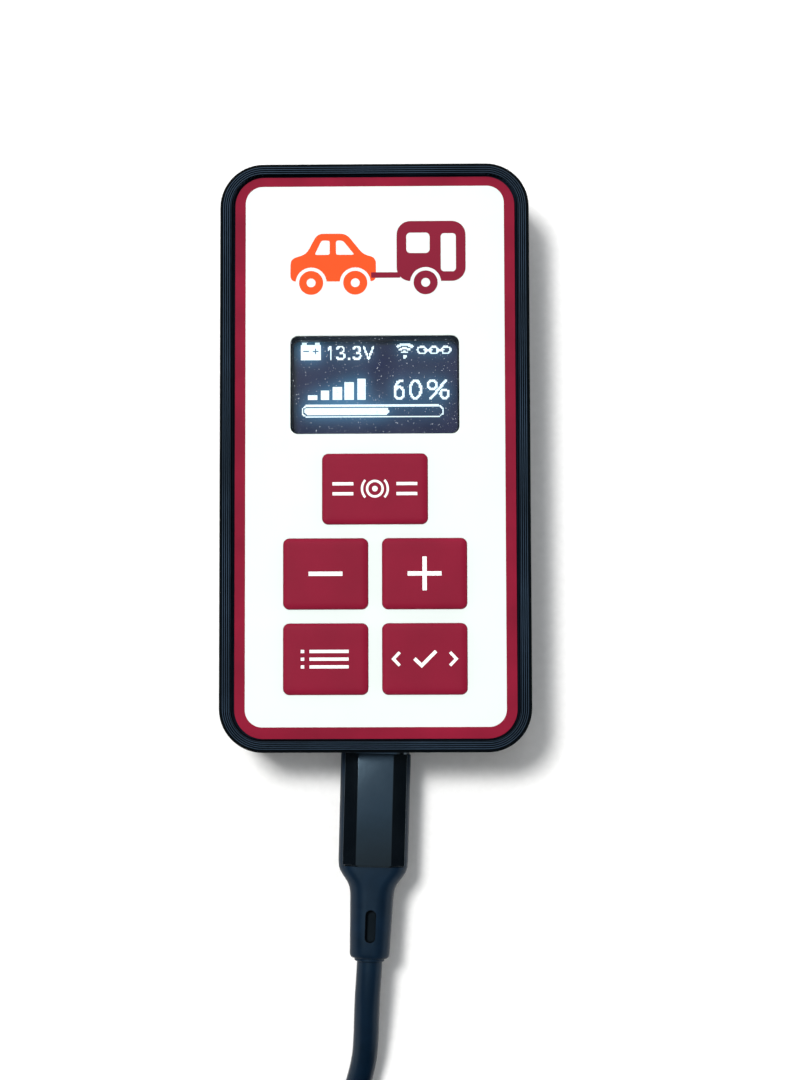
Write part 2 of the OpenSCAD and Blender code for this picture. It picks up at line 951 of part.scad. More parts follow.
case_shell();
back_cover();
cover_screws();
threaded_inserts();
keypad_film();
display_window();
display_gasket();
oled_glass();
oled_flex();
oled_board();
oled_header();
oled_header_pins();
main_board();
board_screws();
radio_board();
radio_shield();
voltage_regulator();
storage_capacitor();
chip_capacitors();
chip_resistors();
usb_socket_shell();
usb_socket_tongue();
switch_bases();
switch_covers();
switch_terminals();
brake_dome();
minus_dome();
plus_dome();
menu_dome();
select_dome();
brake_stem();
minus_stem();
plus_stem();
menu_stem();
select_stem();
brake_key();
minus_key();
plus_key();
menu_key();
select_key();
plug_shell();
plug_insert();
plug_core();
plug_sleeve();
cable_jacket();
cable_coil();
cable_tail();
cable_tie();
far_relief();
far_grip();
far_shell();
far_insulator();
far_contacts();
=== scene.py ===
"""Looks of the brake controller unit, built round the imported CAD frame.

Everything is in the row frame: +Z up, +Y towards the display end, origin under the middle of the case.
Outlines and profiles are written in millimetres, and build() turns them into metres.
"""

import math

import bmesh
import bpy
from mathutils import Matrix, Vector
from mathutils.geometry import delaunay_2d_cdt


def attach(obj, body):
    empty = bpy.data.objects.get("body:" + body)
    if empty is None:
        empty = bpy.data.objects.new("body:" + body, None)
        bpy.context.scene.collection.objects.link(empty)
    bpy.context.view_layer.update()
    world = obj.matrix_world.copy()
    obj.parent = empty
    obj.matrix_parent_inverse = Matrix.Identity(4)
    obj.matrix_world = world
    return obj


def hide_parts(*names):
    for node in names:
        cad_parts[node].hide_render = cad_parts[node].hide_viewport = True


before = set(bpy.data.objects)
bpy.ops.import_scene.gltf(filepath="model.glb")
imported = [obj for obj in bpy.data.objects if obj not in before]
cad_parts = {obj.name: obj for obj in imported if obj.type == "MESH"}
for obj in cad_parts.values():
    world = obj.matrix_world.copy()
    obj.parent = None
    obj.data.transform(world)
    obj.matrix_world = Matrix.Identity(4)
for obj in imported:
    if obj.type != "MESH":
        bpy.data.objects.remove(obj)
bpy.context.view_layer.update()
MM = 0.001

# ---------------------------------------------------------------- camera

CAMERA_PLACE = (0.00801, -0.03230, 0.31164)
CAMERA_TURN = (0.0675, 0.01292, -0.0029)
CAMERA_LENS = 69.11


def add_object(name, data):
    made = bpy.data.objects.new(name, data)
    bpy.context.scene.collection.objects.link(made)
    return made


def make_camera():
    data = bpy.data.cameras.new("camera")
    data.lens = CAMERA_LENS
    data.clip_start = 0.01
    camera = add_object("camera", data)
    camera.location = CAMERA_PLACE
    camera.rotation_euler = CAMERA_TURN
    bpy.context.scene.camera = camera


# ---------------------------------------------------------------- mesh tools

ARC_STEPS = 10
DISC_STEPS = 32
CORNER_STEPS = 6
SOFT_SHARP = 50


def build(name, points, faces, materials, sharp=35, slots=None, scale=MM):
    """A mesh object from points in millimetres, with smooth shading between its sharp edges."""
    mesh = bpy.data.meshes.new(name)
    mesh.from_pydata([[c * scale for c in p] for p in points], [], faces)
    for material in materials:
        mesh.materials.append(material)
    if slots:
        mesh.polygons.foreach_set("material_index", slots)
    mesh.polygons.foreach_set("use_smooth", [True] * len(mesh.polygons))
    mesh.set_sharp_from_angle(angle=math.radians(sharp))
    mesh.update()
    return add_object(name, mesh)


def arc(x, y, r, start, end, steps=ARC_STEPS):
    """Points on an arc, from one angle to another in degrees."""
    angles = [math.radians(start + (end - start) * k / steps) for k in range(steps + 1)]
    return [(x + r * math.cos(a), y + r * math.sin(a)) for a in angles]


def rounded_rect(w, l, r, x=0, y=0, steps=ARC_STEPS):
    """The outline of a rectangle with round corners, counter-clockwise."""
    corners = ((1, -1, -90), (1, 1, 0), (-1, 1, 90), (-1, -1, 180))
    outline = []
    for sx, sy, start in corners:
        outline += arc(x + sx * (w / 2 - r), y + sy * (l / 2 - r), r, start, start + 90, steps)
    return outline


def disc(x, y, r):
    return arc(x, y, r, 0, 360, DISC_STEPS)[:-1]


def stroke(line, width):
    """The outline of a bent line of one width, with flat ends and mitred corners."""
    left, right = [], []
    for i, here in enumerate(line):
        before = Vector(line[max(i - 1, 0)])
        after = Vector(line[min(i + 1, len(line) - 1)])
        turns = [d.normalized() for d in (Vector(here) - before, after - Vector(here)) if d.length > 0]
        ahead = sum(turns, Vector((0, 0))).normalized()
        side = Vector((-ahead.y, ahead.x))
        reach = width / 2 / max(0.3, abs(side.dot(Vector((-turns[0].y, turns[0].x)))))
        left.append(tuple(Vector(here) + reach * side))
        right.append(tuple(Vector(here) - reach * side))
    return right + left[::-1]


def softened(outline, r):
    """The outline with each corner rounded off over the distance r on both sides."""
    soft = []
    for i, corner in enumerate(outline):
        here = Vector(corner)
        before = here + r * (Vector(outline[i - 1]) - here).normalized()
        after = here + r * (Vector(outline[(i + 1) % len(outline)]) - here).normalized()
        for k in range(CORNER_STEPS + 1):
            t = k / CORNER_STEPS
            soft.append(tuple((1 - t) ** 2 * before + 2 * t * (1 - t) * here + t ** 2 * after))
    return soft


def arc_stroke(x, y, r, width, start, end):
    """A bent bar along an arc."""
    return arc(x, y, r + width / 2, start, end) + arc(x, y, r - width / 2, end, start)


def within(point, outline):
    """True if the point is inside the outline."""
    x, y = point
    inside = False
    for i, (ax, ay) in enumerate(outline):
        bx, by = outline[i - 1]
        if (ay > y) != (by > y) and x < (bx - ax) * (y - ay) / (by - ay) + ax:
            inside = not inside
    return inside


def plate(name, painted, z_low, z_high, materials):
    """A flat plate. painted lists (outline, slot): the last outline round a place gives its material slot,
    and a slot of None cuts it out."""
    flat, edges = [], []
    for outline, _ in painted:
        first = len(flat)
        flat += [Vector(p) for p in outline]
        edges += [(first + i, first + (i + 1) % len(outline)) for i in range(len(outline))]
    flat, _, triangles, _, _, _ = delaunay_2d_cdt(flat, edges, [], 0, 1e-5)
    kept, slots = [], []
    for t in triangles:
        middle = sum((flat[i] for i in t), Vector((0, 0))) / len(t)
        found = [slot for outline, slot in painted if within(middle, outline)]
        if found and found[-1] is not None:
            kept.append(list(t))
            slots.append(found[-1])
    n = len(flat)
    sides = {(t[i], t[(i + 1) % len(t)]): s for t, s in zip(kept, slots) for i in range(len(t))}
    walls = [(pair, s) for pair, s in sides.items() if pair[::-1] not in sides]
    points = [(p.x, p.y, z_low) for p in flat] + [(p.x, p.y, z_high) for p in flat]
    faces = [t[::-1] for t in kept] + [[i + n for i in t] for t in kept]
    faces += [[a, b, b + n, a + n] for (a, b), _ in walls]
    made = build(name, points, faces, materials, slots=slots + slots + [s for _, s in walls])
    return tidy_mesh(made)


def tidy_mesh(made):
    """Takes away the points that no face uses."""
    mesh = bmesh.new()
    mesh.from_mesh(made.data)
    bmesh.ops.delete(mesh, geom=[v for v in mesh.verts if not v.link_faces], context="VERTS")
    mesh.to_mesh(made.data)
    mesh.free()
    return made


def ring_faces(rings, count, closed=False):
    """The sides between rings of count points each, and the two ends unless the rings close on themselves."""
    faces = []
    for i in range(rings if closed else rings - 1):
        a, b = i * count, (i + 1) % rings * count
        faces += [[a + k, a + (k + 1) % count, b + (k + 1) % count, b + k] for k in range(count)]
    if not closed:
        faces += [list(range(count))[::-1], [(rings - 1) * count + k for k in range(count)]]
    return faces


def loft(name, rings, materials, sharp=35, closed=False):
    """A solid through rings of equally many points."""
    points = [p for ring in rings for p in ring]
    return build(name, points, ring_faces(len(rings), len(rings[0]), closed), materials, sharp)


def rise(outline, z):
    return [(x, y, z) for x, y in outline]


def stacked(name, w, l, r, profile, materials, x=0, y=0, sharp=35, steps=ARC_STEPS):
    """A solid on a round-cornered rectangle, set in by the profile's (inset, height) pairs."""
    rings = []
    for inset, z in profile:
        corner = max(r - inset, 0.05)
        rings.append(rise(rounded_rect(w - 2 * inset, l - 2 * inset, corner, x, y, steps), z))
    return loft(name, rings, materials, sharp)


def cut(target, tool, operation):
    """Applies a Boolean to the target and takes the tool away."""
    modifier = target.modifiers.new("cut", "BOOLEAN")
    modifier.operation = operation
    modifier.solver = "EXACT"
    modifier.object = tool
    bpy.context.view_layer.update()
    result = bpy.data.meshes.new_from_object(target.evaluated_get(bpy.context.evaluated_depsgraph_get()))
    target.modifiers.clear()
    target.data = result
    bpy.data.objects.remove(tool)
    return target


def reshade(made, sharp):
    made.data.polygons.foreach_set("use_smooth", [True] * len(made.data.polygons))
    made.data.set_sharp_from_angle(angle=math.radians(sharp))
    return made


def finish_piece(piece, body, slot, *nodes):
    """Ties a piece to its body, in place of the named CAD nodes. The slot argument is not used."""
    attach(piece, body)
    if nodes:
        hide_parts(*nodes)
    return piece


# ---------------------------------------------------------------- material tools

DRAWN_GRAIN = 0.3
DRAWN_DEPTH = 2e-6


def srgb(r, g, b):
    """A display colour of 0 to 255 as the linear colour that a shader takes."""
    channels = [c / 255 for c in (r, g, b)]
    return [c / 12.92 if c <= 0.04045 else ((c + 0.055) / 1.055) ** 2.4 for c in channels] + [1]


def feed(material, socket, value):
    """Links a socket to another, or sets its number or colour."""
    if isinstance(value, bpy.types.NodeSocket):
        material.node_tree.links.new(value, socket)
    else:
        socket.default_value = value


def shader_node(material, kind, inputs=None, **settings):
    """Adds a node. inputs holds numbers, colours or the sockets that feed it."""
    made = material.node_tree.nodes.new(kind)
    for key, value in settings.items():
        setattr(made, key, value)
    for key, value in (inputs or {}).items():
        feed(material, made.inputs[key], value)
    return made


def principled(name, **inputs):
    """A new material with its Principled shader's inputs set."""
    material = bpy.data.materials.new(name)
    material.use_nodes = True
    shader = material.node_tree.nodes["Principled BSDF"]
    for key, value in inputs.items():
        shader.inputs[key.replace("_", " ")].default_value = value
    return material, shader


def place(material, stretch=(1, 1, 1), turn=(0, 0, 0)):
    """Object coordinates, stretched and turned."""
    coordinates = shader_node(material, "ShaderNodeTexCoord").outputs["Object"]
    inputs = {"Vector": coordinates, "Scale": stretch, "Rotation": turn}
    return shader_node(material, "ShaderNodeMapping", inputs).outputs["Vector"]


def noise_at(material, vector, scale, detail, rough=0.5):
    inputs = {"Vector": vector, "Scale": scale, "Detail": detail, "Roughness": rough}
    return shader_node(material, "ShaderNodeTexNoise", inputs).outputs["Fac"]


def grain_at(material, size, detail, rough=0.5):
    """Noise with grains of that size in millimetres."""
    return noise_at(material, place(material), 1 / (size * MM), detail, rough)


def set_stops(ramp_node, stops):
    """Gives a ramp its (position, colour) stops, where a plain number stands for a grey."""
    elements = ramp_node.color_ramp.elements
    while len(elements) < len(stops):
        elements.new(1)
    for element, (position, colour) in zip(elements, stops):
        element.position = position
        element.color = colour if hasattr(colour, "__len__") else (colour, colour, colour, 1)


def ramp(material, factor, *stops):
    made = shader_node(material, "ShaderNodeValToRGB", {"Fac": factor})
    set_stops(made, stops)
    return made.outputs["Color"]


def added(material, a, b):
    return shader_node(material, "ShaderNodeMath", {0: a, 1: b}, operation="ADD").outputs[0]


def blend(material, factor, a, b, kind="MIX"):
    """Mixes two colours."""
    made = shader_node(material, "ShaderNodeMix", data_type="RGBA", blend_type=kind)
    for socket, value in ((0, factor), (6, a), (7, b)):
        feed(material, made.inputs[socket], value)
    return made.outputs[2]


def link(material, source, shader, socket):
    feed(material, shader.inputs[socket], source)


def graded(material, shader, socket, factor, *stops):
    """Feeds a shader's socket from a colour ramp."""
    link(material, ramp(material, factor, *stops), shader, socket)


def relief(material, shader, heights):
    """Bumps from (height socket, depth in metres) pairs, one over the other."""
    normal = None
    for height, depth in heights:
        inputs = {"Height": height, "Distance": depth, "Strength": 1.0}
        if normal:
            inputs["Normal"] = normal
        normal = shader_node(material, "ShaderNodeBump", inputs).outputs["Normal"]
    link(material, normal, shader, "Normal")


def shaded(colour, share):
    """The colour times a share."""
    return [c * share for c in colour[:3]] + [1]


def moulded(name, colour, rough, grain, depth=6e-6, variation=0.12, cloud=4.0, **inputs):
    """Moulded plastic or rubber: cloudy tone, a fine grain of that size in millimetres, uneven gloss."""
    material, shader = principled(name, Roughness=rough, **inputs)
    clouds = grain_at(material, cloud, 4, 0.6)
    fine = grain_at(material, grain, 2)
    dark, light = shaded(colour, 1 - variation), shaded(colour, 1 + variation)
    graded(material, shader, "Base Color", clouds, (0.3, dark), (0.7, light))
    graded(material, shader, "Roughness", clouds, (0.25, rough * 0.88), (0.75, min(1, rough * 1.12)))
    relief(material, shader, [(fine, depth), (clouds, depth)])
    return material


def metal(name, colour, rough, stretch=(1, 1, 1)):
    """Bare metal with a drawn or rolled grain, stretched along one axis."""
    material, shader = principled(name, Metallic=1.0, Roughness=rough)
    streaks = noise_at(material, place(material, stretch), 1 / (DRAWN_GRAIN * MM), 4, 0.6)
    stains = grain_at(material, 3, 3)
    graded(material, shader, "Base Color", stains, (0.3, shaded(colour, 0.86)), (0.7, colour))
    graded(material, shader, "Roughness", streaks, (0.2, rough * 0.7), (0.8, rough * 1.3))
    relief(material, shader, [(streaks, DRAWN_DEPTH)])
    return material


# ---------------------------------------------------------------- materials

PRINT_LAYER = 0.3
CASE_TONE = srgb(16, 26, 37)
# painted highlight: a lighter copy of the case plastic's tone, for the crests of the rim's tracks
TRACK_HIGHLIGHT_TONE = srgb(37, 50, 65)
# painted shade: a near-black copy of the case plastic's tone, for the rim's grooves, edge band and inner
# chamfer
GROOVE_SHADE_TONE = srgb(1, 3, 6)
CABLE_TONE = srgb(4, 20, 36)
MAROON_TONE = srgb(126, 15, 43)
WHITE_TONE = srgb(214, 222, 220)
BLUE_SHEEN = (0.55, 0.8, 1, 1)


def printed(name, along, colour, sheen=0.14):
    """Printed plastic: each layer or track has its own tone and gloss, and along is the axis across them."""
    material, shader = principled(name, Roughness=0.45, Specular_IOR_Level=sheen, Specular_Tint=BLUE_SHEEN)
    across = 1 / (PRINT_LAYER * MM)
    stretch = (across, 60, 60) if along == "x" else (60, 60, across)
    turn = (0, 0, math.radians(45)) if along == "x" else (0, 0, 0)
    tracks = noise_at(material, place(material, stretch, turn), 1.0, 3, 0.65)
    flecks = grain_at(material, 0.12, 2)
    tone = ramp(material, tracks, (0.3, shaded(colour, 0.6)), (0.72, shaded(colour, 1.5)))
    spots = ramp(material, flecks, (0.25, 0.75), (0.8, 1.25))
    link(material, blend(material, 1.0, tone, spots, "MULTIPLY"), shader, "Base Color")
    graded(material, shader, "Roughness", tracks, (0.25, 0.36), (0.8, 0.56))
    relief(material, shader, [(tracks, 2.5e-5), (flecks, 6e-6)])
    return material


def film_ink(name, colour, rough, variation):
    """Ink on the underside of a fine-textured polyester film."""
    material, shader = principled(name, Roughness=rough, Specular_IOR_Level=0.12)
    clouds = grain_at(material, 7, 4, 0.55)
    velvet = grain_at(material, 0.06, 2)
    dark, light = shaded(colour, 1 - variation), shaded(colour, 1 + variation)
    graded(material, shader, "Base Color", clouds, (0.3, dark), (0.7, light))
    graded(material, shader, "Roughness", velvet, (0.3, rough - 0.06), (0.7, rough + 0.06))
    relief(material, shader, [(velvet, 1.5e-6), (clouds, 4e-6)])
    return material


def clear_film():
    """The window: clear, with a faint haze and specks of dust."""
    base = srgb(205, 215, 230)
    material, shader = principled("window_clear", Base_Color=base, Roughness=0.12, Specular_IOR_Level=0.16)
    haze = grain_at(material, 5, 3)
    dust = grain_at(material, 0.26, 1)
    veil = ramp(material, haze, (0.2, 0.004), (0.8, 0.018))
    specks = ramp(material, dust, (0.735, 0.0), (0.755, 0.65))
    link(material, added(material, veil, specks), shader, "Alpha")
    graded(material, shader, "Roughness", haze, (0.2, 0.1), (0.8, 0.2))
    return material


def panel_glass(name):
    """The dark display panel. Where the mesh holds a glow from 0 to 1, it shines by that much."""
    material, shader = principled(name, Roughness=0.1, Specular_IOR_Level=0.2, Emission_Strength=1.0)
    clouds = grain_at(material, 6, 3)
    graded(material, shader, "Base Color", clouds, (0.3, srgb(7, 10, 44)), (0.7, srgb(16, 18, 54)))
    graded(material, shader, "Roughness", clouds, (0.3, 0.07), (0.7, 0.14))
    glow = shader_node(material, "ShaderNodeAttribute", attribute_name="glow").outputs["Fac"]
    graded(material, shader, "Emission Color", glow, (0.0, (0, 0, 0, 1)), (1.0, srgb(84, 156, 196)))
    return material


def lit_dots():
    """The display's lit dots, a little uneven."""
    base = srgb(40, 50, 60)
    material, shader = principled("dot_lit", Base_Color=base, Roughness=0.3, Emission_Strength=1.95)
    uneven = grain_at(material, 0.6, 2)
    graded(material, shader, "Emission Color", uneven, (0.3, srgb(170, 196, 202)), (0.7, srgb(188, 206, 210)))
    return material


def woven(name, colour):
    """Woven nylon with a raised nap."""
    material, shader = principled(name, Roughness=0.9, Sheen_Weight=0.25, Sheen_Roughness=0.5)
    inputs = {"Vector": place(material, turn=(0, 0, math.radians(45))), "Scale": 400.0, "Distortion": 1.5}
    warp = shader_node(material, "ShaderNodeTexWave", inputs).outputs["Fac"]
    fuzz = grain_at(material, 0.15, 4, 0.7)
    graded(material, shader, "Base Color", warp, (0.2, shaded(colour, 0.6)), (0.8, shaded(colour, 1.5)))
    graded(material, shader, "Roughness", fuzz, (0.2, 0.8), (0.8, 1.0))
    relief(material, shader, [(warp, 5e-5), (fuzz, 4e-5)])
    return material


def circuit(name, mask, copper):
    """A solder-masked board with tracks under the mask."""
    material, shader = principled(name, Roughness=0.3)
    inputs = {"Vector": place(material), "Scale": 1 / (2.4 * MM), "Mortar Size": 0.06}
    inputs |= {"Color1": mask, "Color2": shaded(mask, 0.9), "Mortar": copper}
    cells = shader_node(material, "ShaderNodeTexBrick", inputs)
    fibres = grain_at(material, 0.5, 3)
    share = ramp(material, fibres, (0.3, 0.0), (0.7, 0.25))
    link(material, blend(material, share, cells.outputs["Color"], shaded(mask, 0.7)), shader, "Base Color")
    graded(material, shader, "Roughness", fibres, (0.3, 0.25), (0.7, 0.4))
    relief(material, shader, [(cells.outputs["Fac"], 1.5e-5), (fibres, 4e-6)])
    return material


def make_materials():
    soft = {"Specular_IOR_Level": 0.16, "Specular_Tint": BLUE_SHEEN}
    gloss = {"Specular_IOR_Level": 0.6, "Specular_Tint": BLUE_SHEEN}
    made = [
        printed("case_print", "z", CASE_TONE),
        # painted highlight copy of the case plastic, for the crests of the rim's tracks
        printed("case_track_highlight", "z", TRACK_HIGHLIGHT_TONE),
        # painted shade copy of the case plastic, with almost no gloss, for the rim's grooves, edge band and
        # inner chamfer
        printed("case_groove_shade", "z", GROOVE_SHADE_TONE, 0.03),
        printed("cover_print", "x", CASE_TONE),
        metal("screw_steel", srgb(190, 190, 194), 0.35),
        metal("insert_brass", srgb(206, 168, 92), 0.35),
        film_ink("film_border", MAROON_TONE, 0.72, 0.14),
        film_ink("film_field", WHITE_TONE, 0.6, 0.01),
        film_ink("key_maroon", srgb(121, 11, 41), 0.62, 0.06),
        film_ink("ink_white", srgb(236, 238, 238), 0.55, 0.01),
        film_ink("ink_orange", srgb(236, 74, 22), 0.6, 0.03),
        film_ink("ink_maroon", srgb(118, 12, 41), 0.62, 0.04),
        clear_film(),
        panel_glass("display_glass"),
        lit_dots(),
        moulded("gasket_foam", srgb(30, 30, 32), 0.95, 0.2, 4e-5),
        moulded("flex_film", srgb(168, 96, 32), 0.3, 0.4, 3e-6),
        circuit("board_green", srgb(20, 82, 48), srgb(58, 122, 60)),
        circuit("board_blue", srgb(16, 42, 92), srgb(40, 80, 140)),
        circuit("board_black", srgb(22, 24, 26), srgb(52, 52, 50)),
        moulded("black_plastic", srgb(34, 34, 36), 0.5, 0.15),
        metal("contact_gold", srgb(226, 184, 100), 0.25),
        metal("shield_steel", srgb(196, 198, 200), 0.3, (1, 8, 1)),
        metal("dome_steel", srgb(200, 200, 202), 0.22),
        metal("capacitor_can", srgb(204, 206, 208), 0.28),
        moulded("capacitor_ceramic", srgb(168, 140, 104), 0.45, 0.1),
        metal("socket_steel", srgb(186, 188, 190), 0.25, (8, 1, 8)),
        metal("plug_steel", srgb(196, 197, 200), 0.2, (8, 1, 8)),
        moulded("plug_gloss", srgb(1, 3, 7), 0.2, 1.5, 8e-6, 0.15, 6, **gloss),
        moulded("plug_soft", CABLE_TONE, 0.42, 0.12, 5e-6, 0.2, 3, **soft),
        # painted shade: a darker, duller copy of the plug's rubber, for the recess in the strain relief
        moulded("plug_recess_shade", srgb(2, 5, 9), 0.7, 0.1, 5e-6, 0.2, 3, **soft),
        moulded("cable_soft", CABLE_TONE, 0.4, 0.1, 4e-6, 0.2, 5, **soft),
        woven("tie_fabric", srgb(28, 28, 31)),
        moulded("insulator_plastic", srgb(28, 28, 30), 0.4, 0.2),
    ]
    return {material.name: material for material in made}


# ---------------------------------------------------------------- cord

CABLE_D = 0.0037
CABLE_SIDES = 16
ROUTE = [
    (-0.0011, -0.07295, 0.00698), (-0.00122, -0.075, 0.00695), (-0.00143, -0.078, 0.0067),
    (-0.00157, -0.081, 0.0061), (-0.0017, -0.084, 0.0053), (-0.00195, -0.087, 0.0044),
    (-0.0026, -0.09, 0.0035), (-0.00355, -0.093, 0.0028), (-0.0048, -0.096, 0.0023),
    (-0.0062, -0.099, 0.002), (-0.00775, -0.102, 0.0019), (-0.0093, -0.105, 0.00185),
    (-0.0108, -0.108, 0.00185), (-0.01215, -0.111, 0.00185), (-0.0133, -0.114, 0.00185),
    (-0.0142, -0.117, 0.00185), (-0.0147, -0.1195, 0.00185),
]
COIL_MIDDLE = (0.0094, -0.122)
COIL_TURNS = 6.5
COIL_STEP = 7.5
TIE_ANGLE = 315
TIE_LIFT = 0.0008
TIE_EASE = 42
TAIL_MIDDLE = (0.0149, -0.122)
TAIL_R = 0.015
TAIL_RISE = 0.0055
FAR_JOIN = (-0.0001, -0.124, 0.01475)
COLUMNS = (0.0168, 0.0205, 0.0242)
ROWS = (0.00185, 0.00555, 0.00925)
# (angle where the cord has reached a place in the coil, angle where it leaves it, column, row)
PLACES = [
    (0, 250, 2, 0), (330, 610, 1, 0), (690, 920, 0, 0), (1000, 1230, 0, 1), (1310, 1590, 1, 1),
    (1670, 1900, 2, 1), (1980, 2210, 2, 2), (2290, 2340, 1, 2),
]


def ease(t):
    t = min(1, max(0, t))
    return t * t * (3 - 2 * t)


def coil_place(turned):
    """Radius and height of the cord after it has turned by that angle in the coil."""
    for (_, end, column, row), after in zip(PLACES, PLACES[1:] + [None]):
        if turned <= end or after is None:
            return COLUMNS[column], ROWS[row]
        if turned < after[0]:
            share = ease((turned - end) / (after[0] - end))
            r = COLUMNS[column] + (COLUMNS[after[2]] - COLUMNS[column]) * share
            return r, ROWS[row] + (ROWS[after[3]] - ROWS[row]) * share
    return COLUMNS[-1], ROWS[-1]


def tie_lift(angle):
    away = abs((angle - TIE_ANGLE + 180) % 360 - 180)
    return TIE_LIFT * ease(1 - away / TIE_EASE)


def round_middle(middle, r, a):
    return middle[0] + r * math.cos(a), middle[1] + r * math.sin(a)


def coil_points():
    points = []
    for k in range(round(COIL_TURNS * 360 / COIL_STEP) + 1):
        turned = k * COIL_STEP
        r, z = coil_place(turned)
        angle = turned + 180
        x, y = round_middle(COIL_MIDDLE, r, math.radians(angle))
        points.append((x, y, z + tie_lift(angle)))
    return points


def tail_points():
    points = []
    for k in range(1, 25):
        t = k / 24
        a = math.pi * t
        z = ROWS[2] + TAIL_RISE * ease(t) + tie_lift(math.degrees(a) + 360)
        points.append((*round_middle(TAIL_MIDDLE, TAIL_R, a), z))
    return points + [FAR_JOIN]


def smooth_line(points, steps):
    """A Catmull-Rom curve through the points, steps to each span."""
    padded = [points[0], *points, points[-1]]
    line = []
    for i in range(len(points) - 1):
        a, b, c, d = (Vector(p) for p in padded[i:i + 4])
        bend, sway = 2 * a - 5 * b + 4 * c - d, 3 * b - a - 3 * c + d
        for k in range(steps):
            t = k / steps
            line.append(0.5 * (2 * b + (c - a) * t + bend * t ** 2 + sway * t ** 3))
    return line + [Vector(points[-1])]


def cord_path():
    """The cord's middle line: the drawn route made smooth, then the coil and the tail."""
    coil = coil_points()
    near = smooth_line(ROUTE + coil[:2], 3)[:-4]
    return near + [Vector(p) for p in coil + tail_points()]


def tube(name, line, radius, sides, material):
    """A round tube along a line in metres, with no twist."""
    side = Vector((1, 0, 0))
    rings = []
    for i, here in enumerate(line):
        ahead = (line[min(i + 1, len(line) - 1)] - line[max(i - 1, 0)]).normalized()
        side = (side - side.dot(ahead) * ahead).normalized()
        up = ahead.cross(side)
        turns = [2 * math.pi * k / sides for k in range(sides)]
        rings.append([here + radius * (math.cos(t) * side + math.sin(t) * up) for t in turns])
    points = [p for ring in rings for p in ring]
    return build(name, points, ring_faces(len(rings), sides), [material], 60, scale=1)


def make_cord(look):
    line = cord_path()
    cord = tube("supply_cord", line, CABLE_D / 2, CABLE_SIDES, look["cable_soft"])
    finish_piece(cord, "supply_lead", "cable_soft", "cable_jacket", "cable_coil", "cable_tail")
    return cord, line


# ---------------------------------------------------------------- case

CASE_W, CASE_L, CASE_T, CORNER_R = 44.8, 85.2, 15.0, 6.3
EDGE_STEP = 0.12
SEAM = 0.045
SKIN = 0.003
# Tracks of the rim's top face: each one's width, from the outside in, after a low band at the edge
EDGE_BAND = 0.26
TRACKS = (0.29, 0.29, 0.29, 0.29, 0.12)
TRACK_GROOVE = 0.14
# Faces of the rim's top less deep than this are crests and get the painted highlight; deeper ones down to
# RIM_INNER get the painted shade
CROWN_LEVEL = 0.02
RIM_INNER = (2.0, 0.36)


def case_profile():
    """The printed layers from the bed up, then the tracks of the top face inwards, as (inset, height)."""
    layers = round(CASE_T / PRINT_LAYER)
    profile = [(EDGE_STEP + SEAM, -1.0)]
    for k in range(layers - 1):
        inset = (EDGE_STEP if k == 0 else 0) + SKIN
        bulge = ((0.0, SEAM), (0.12, 0.012), (0.5, 0.0), (0.88, 0.012), (0.996, SEAM))
        profile += [(inset + depth, (k + share) * PRINT_LAYER) for share, depth in bulge]
    inset, top = EDGE_STEP + SKIN, CASE_T - SKIN
    profile += [(inset + 0.03, CASE_T - PRINT_LAYER), (inset, CASE_T - 0.24)]
    profile.append((inset + 0.03, top - TRACK_GROOVE))
    inset += EDGE_BAND
    crown = ((0.03, TRACK_GROOVE * 0.75), (0.18, 0.05), (0.32, 0.012), (0.5, 0.0))
    for width in TRACKS:
        profile += [(inset + share * width, top - drop) for share, drop in crown]
        profile += [(inset + (1 - share) * width, top - drop) for share, drop in crown[-2::-1]]
        profile.append((inset + width, top - TRACK_GROOVE))
        inset += width
    return profile + [(RIM_INNER[0], top - RIM_INNER[1])]


def packed_copy(node):
    """A welded copy of a CAD node's mesh, to cut with."""
    mesh = bmesh.new()
    mesh.from_mesh(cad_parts[node].data)
    bmesh.ops.remove_doubles(mesh, verts=mesh.verts, dist=1e-6)
    copied = bpy.data.meshes.new(node + "_tool")
    mesh.to_mesh(copied)
    mesh.free()
    return add_object(node + "_tool", copied)


def make_case(look):
    case = stacked("case", CASE_W, CASE_L, CORNER_R, case_profile(), [look["case_print"]], steps=14)
    cut(case, packed_copy("case_shell"), "INTERSECT")
    case.data.materials.clear()
    # besides the plain print: a painted-shade copy for the grooves and a painted-highlight copy for the
    # crests
    for name in ("case_print", "case_groove_shade", "case_track_highlight"):
        case.data.materials.append(look[name])
    paint_track_light_and_shade(case)
    reshade(case, 38)
    finish_piece(case, "case", "case_print", "case_shell")


def paint_track_light_and_shade(case):
    """Paints light and shade on the rim's top: the crests of the tracks get the lighter copy of the case
    plastic as painted highlight, and the grooves, edge band and inner chamfer the near-black copy as painted
    shade.
    """
    for face in case.data.polygons:
        drop = CASE_T - SKIN - face.center.z / MM
        if drop < RIM_INNER[1]:
            face.material_index = 2 if drop < CROWN_LEVEL else 1


# ---------------------------------------------------------------- keypad

FILM_LOW, FILM_TOP = 14.0, 14.5
FILM_OUTLINE = (40.5, 81.3, 4.2, 0.05, 0.02)
FIELD_OUTLINE = (37.47, 78.31, 2.5, 0.043, 0.18)
WINDOW_OUTLINE = (24.42, 14.32, 1.11, 0, 10.33)
KEY_L, KEY_R, KEY_SLIT = 10.2, 0.9, 0.03
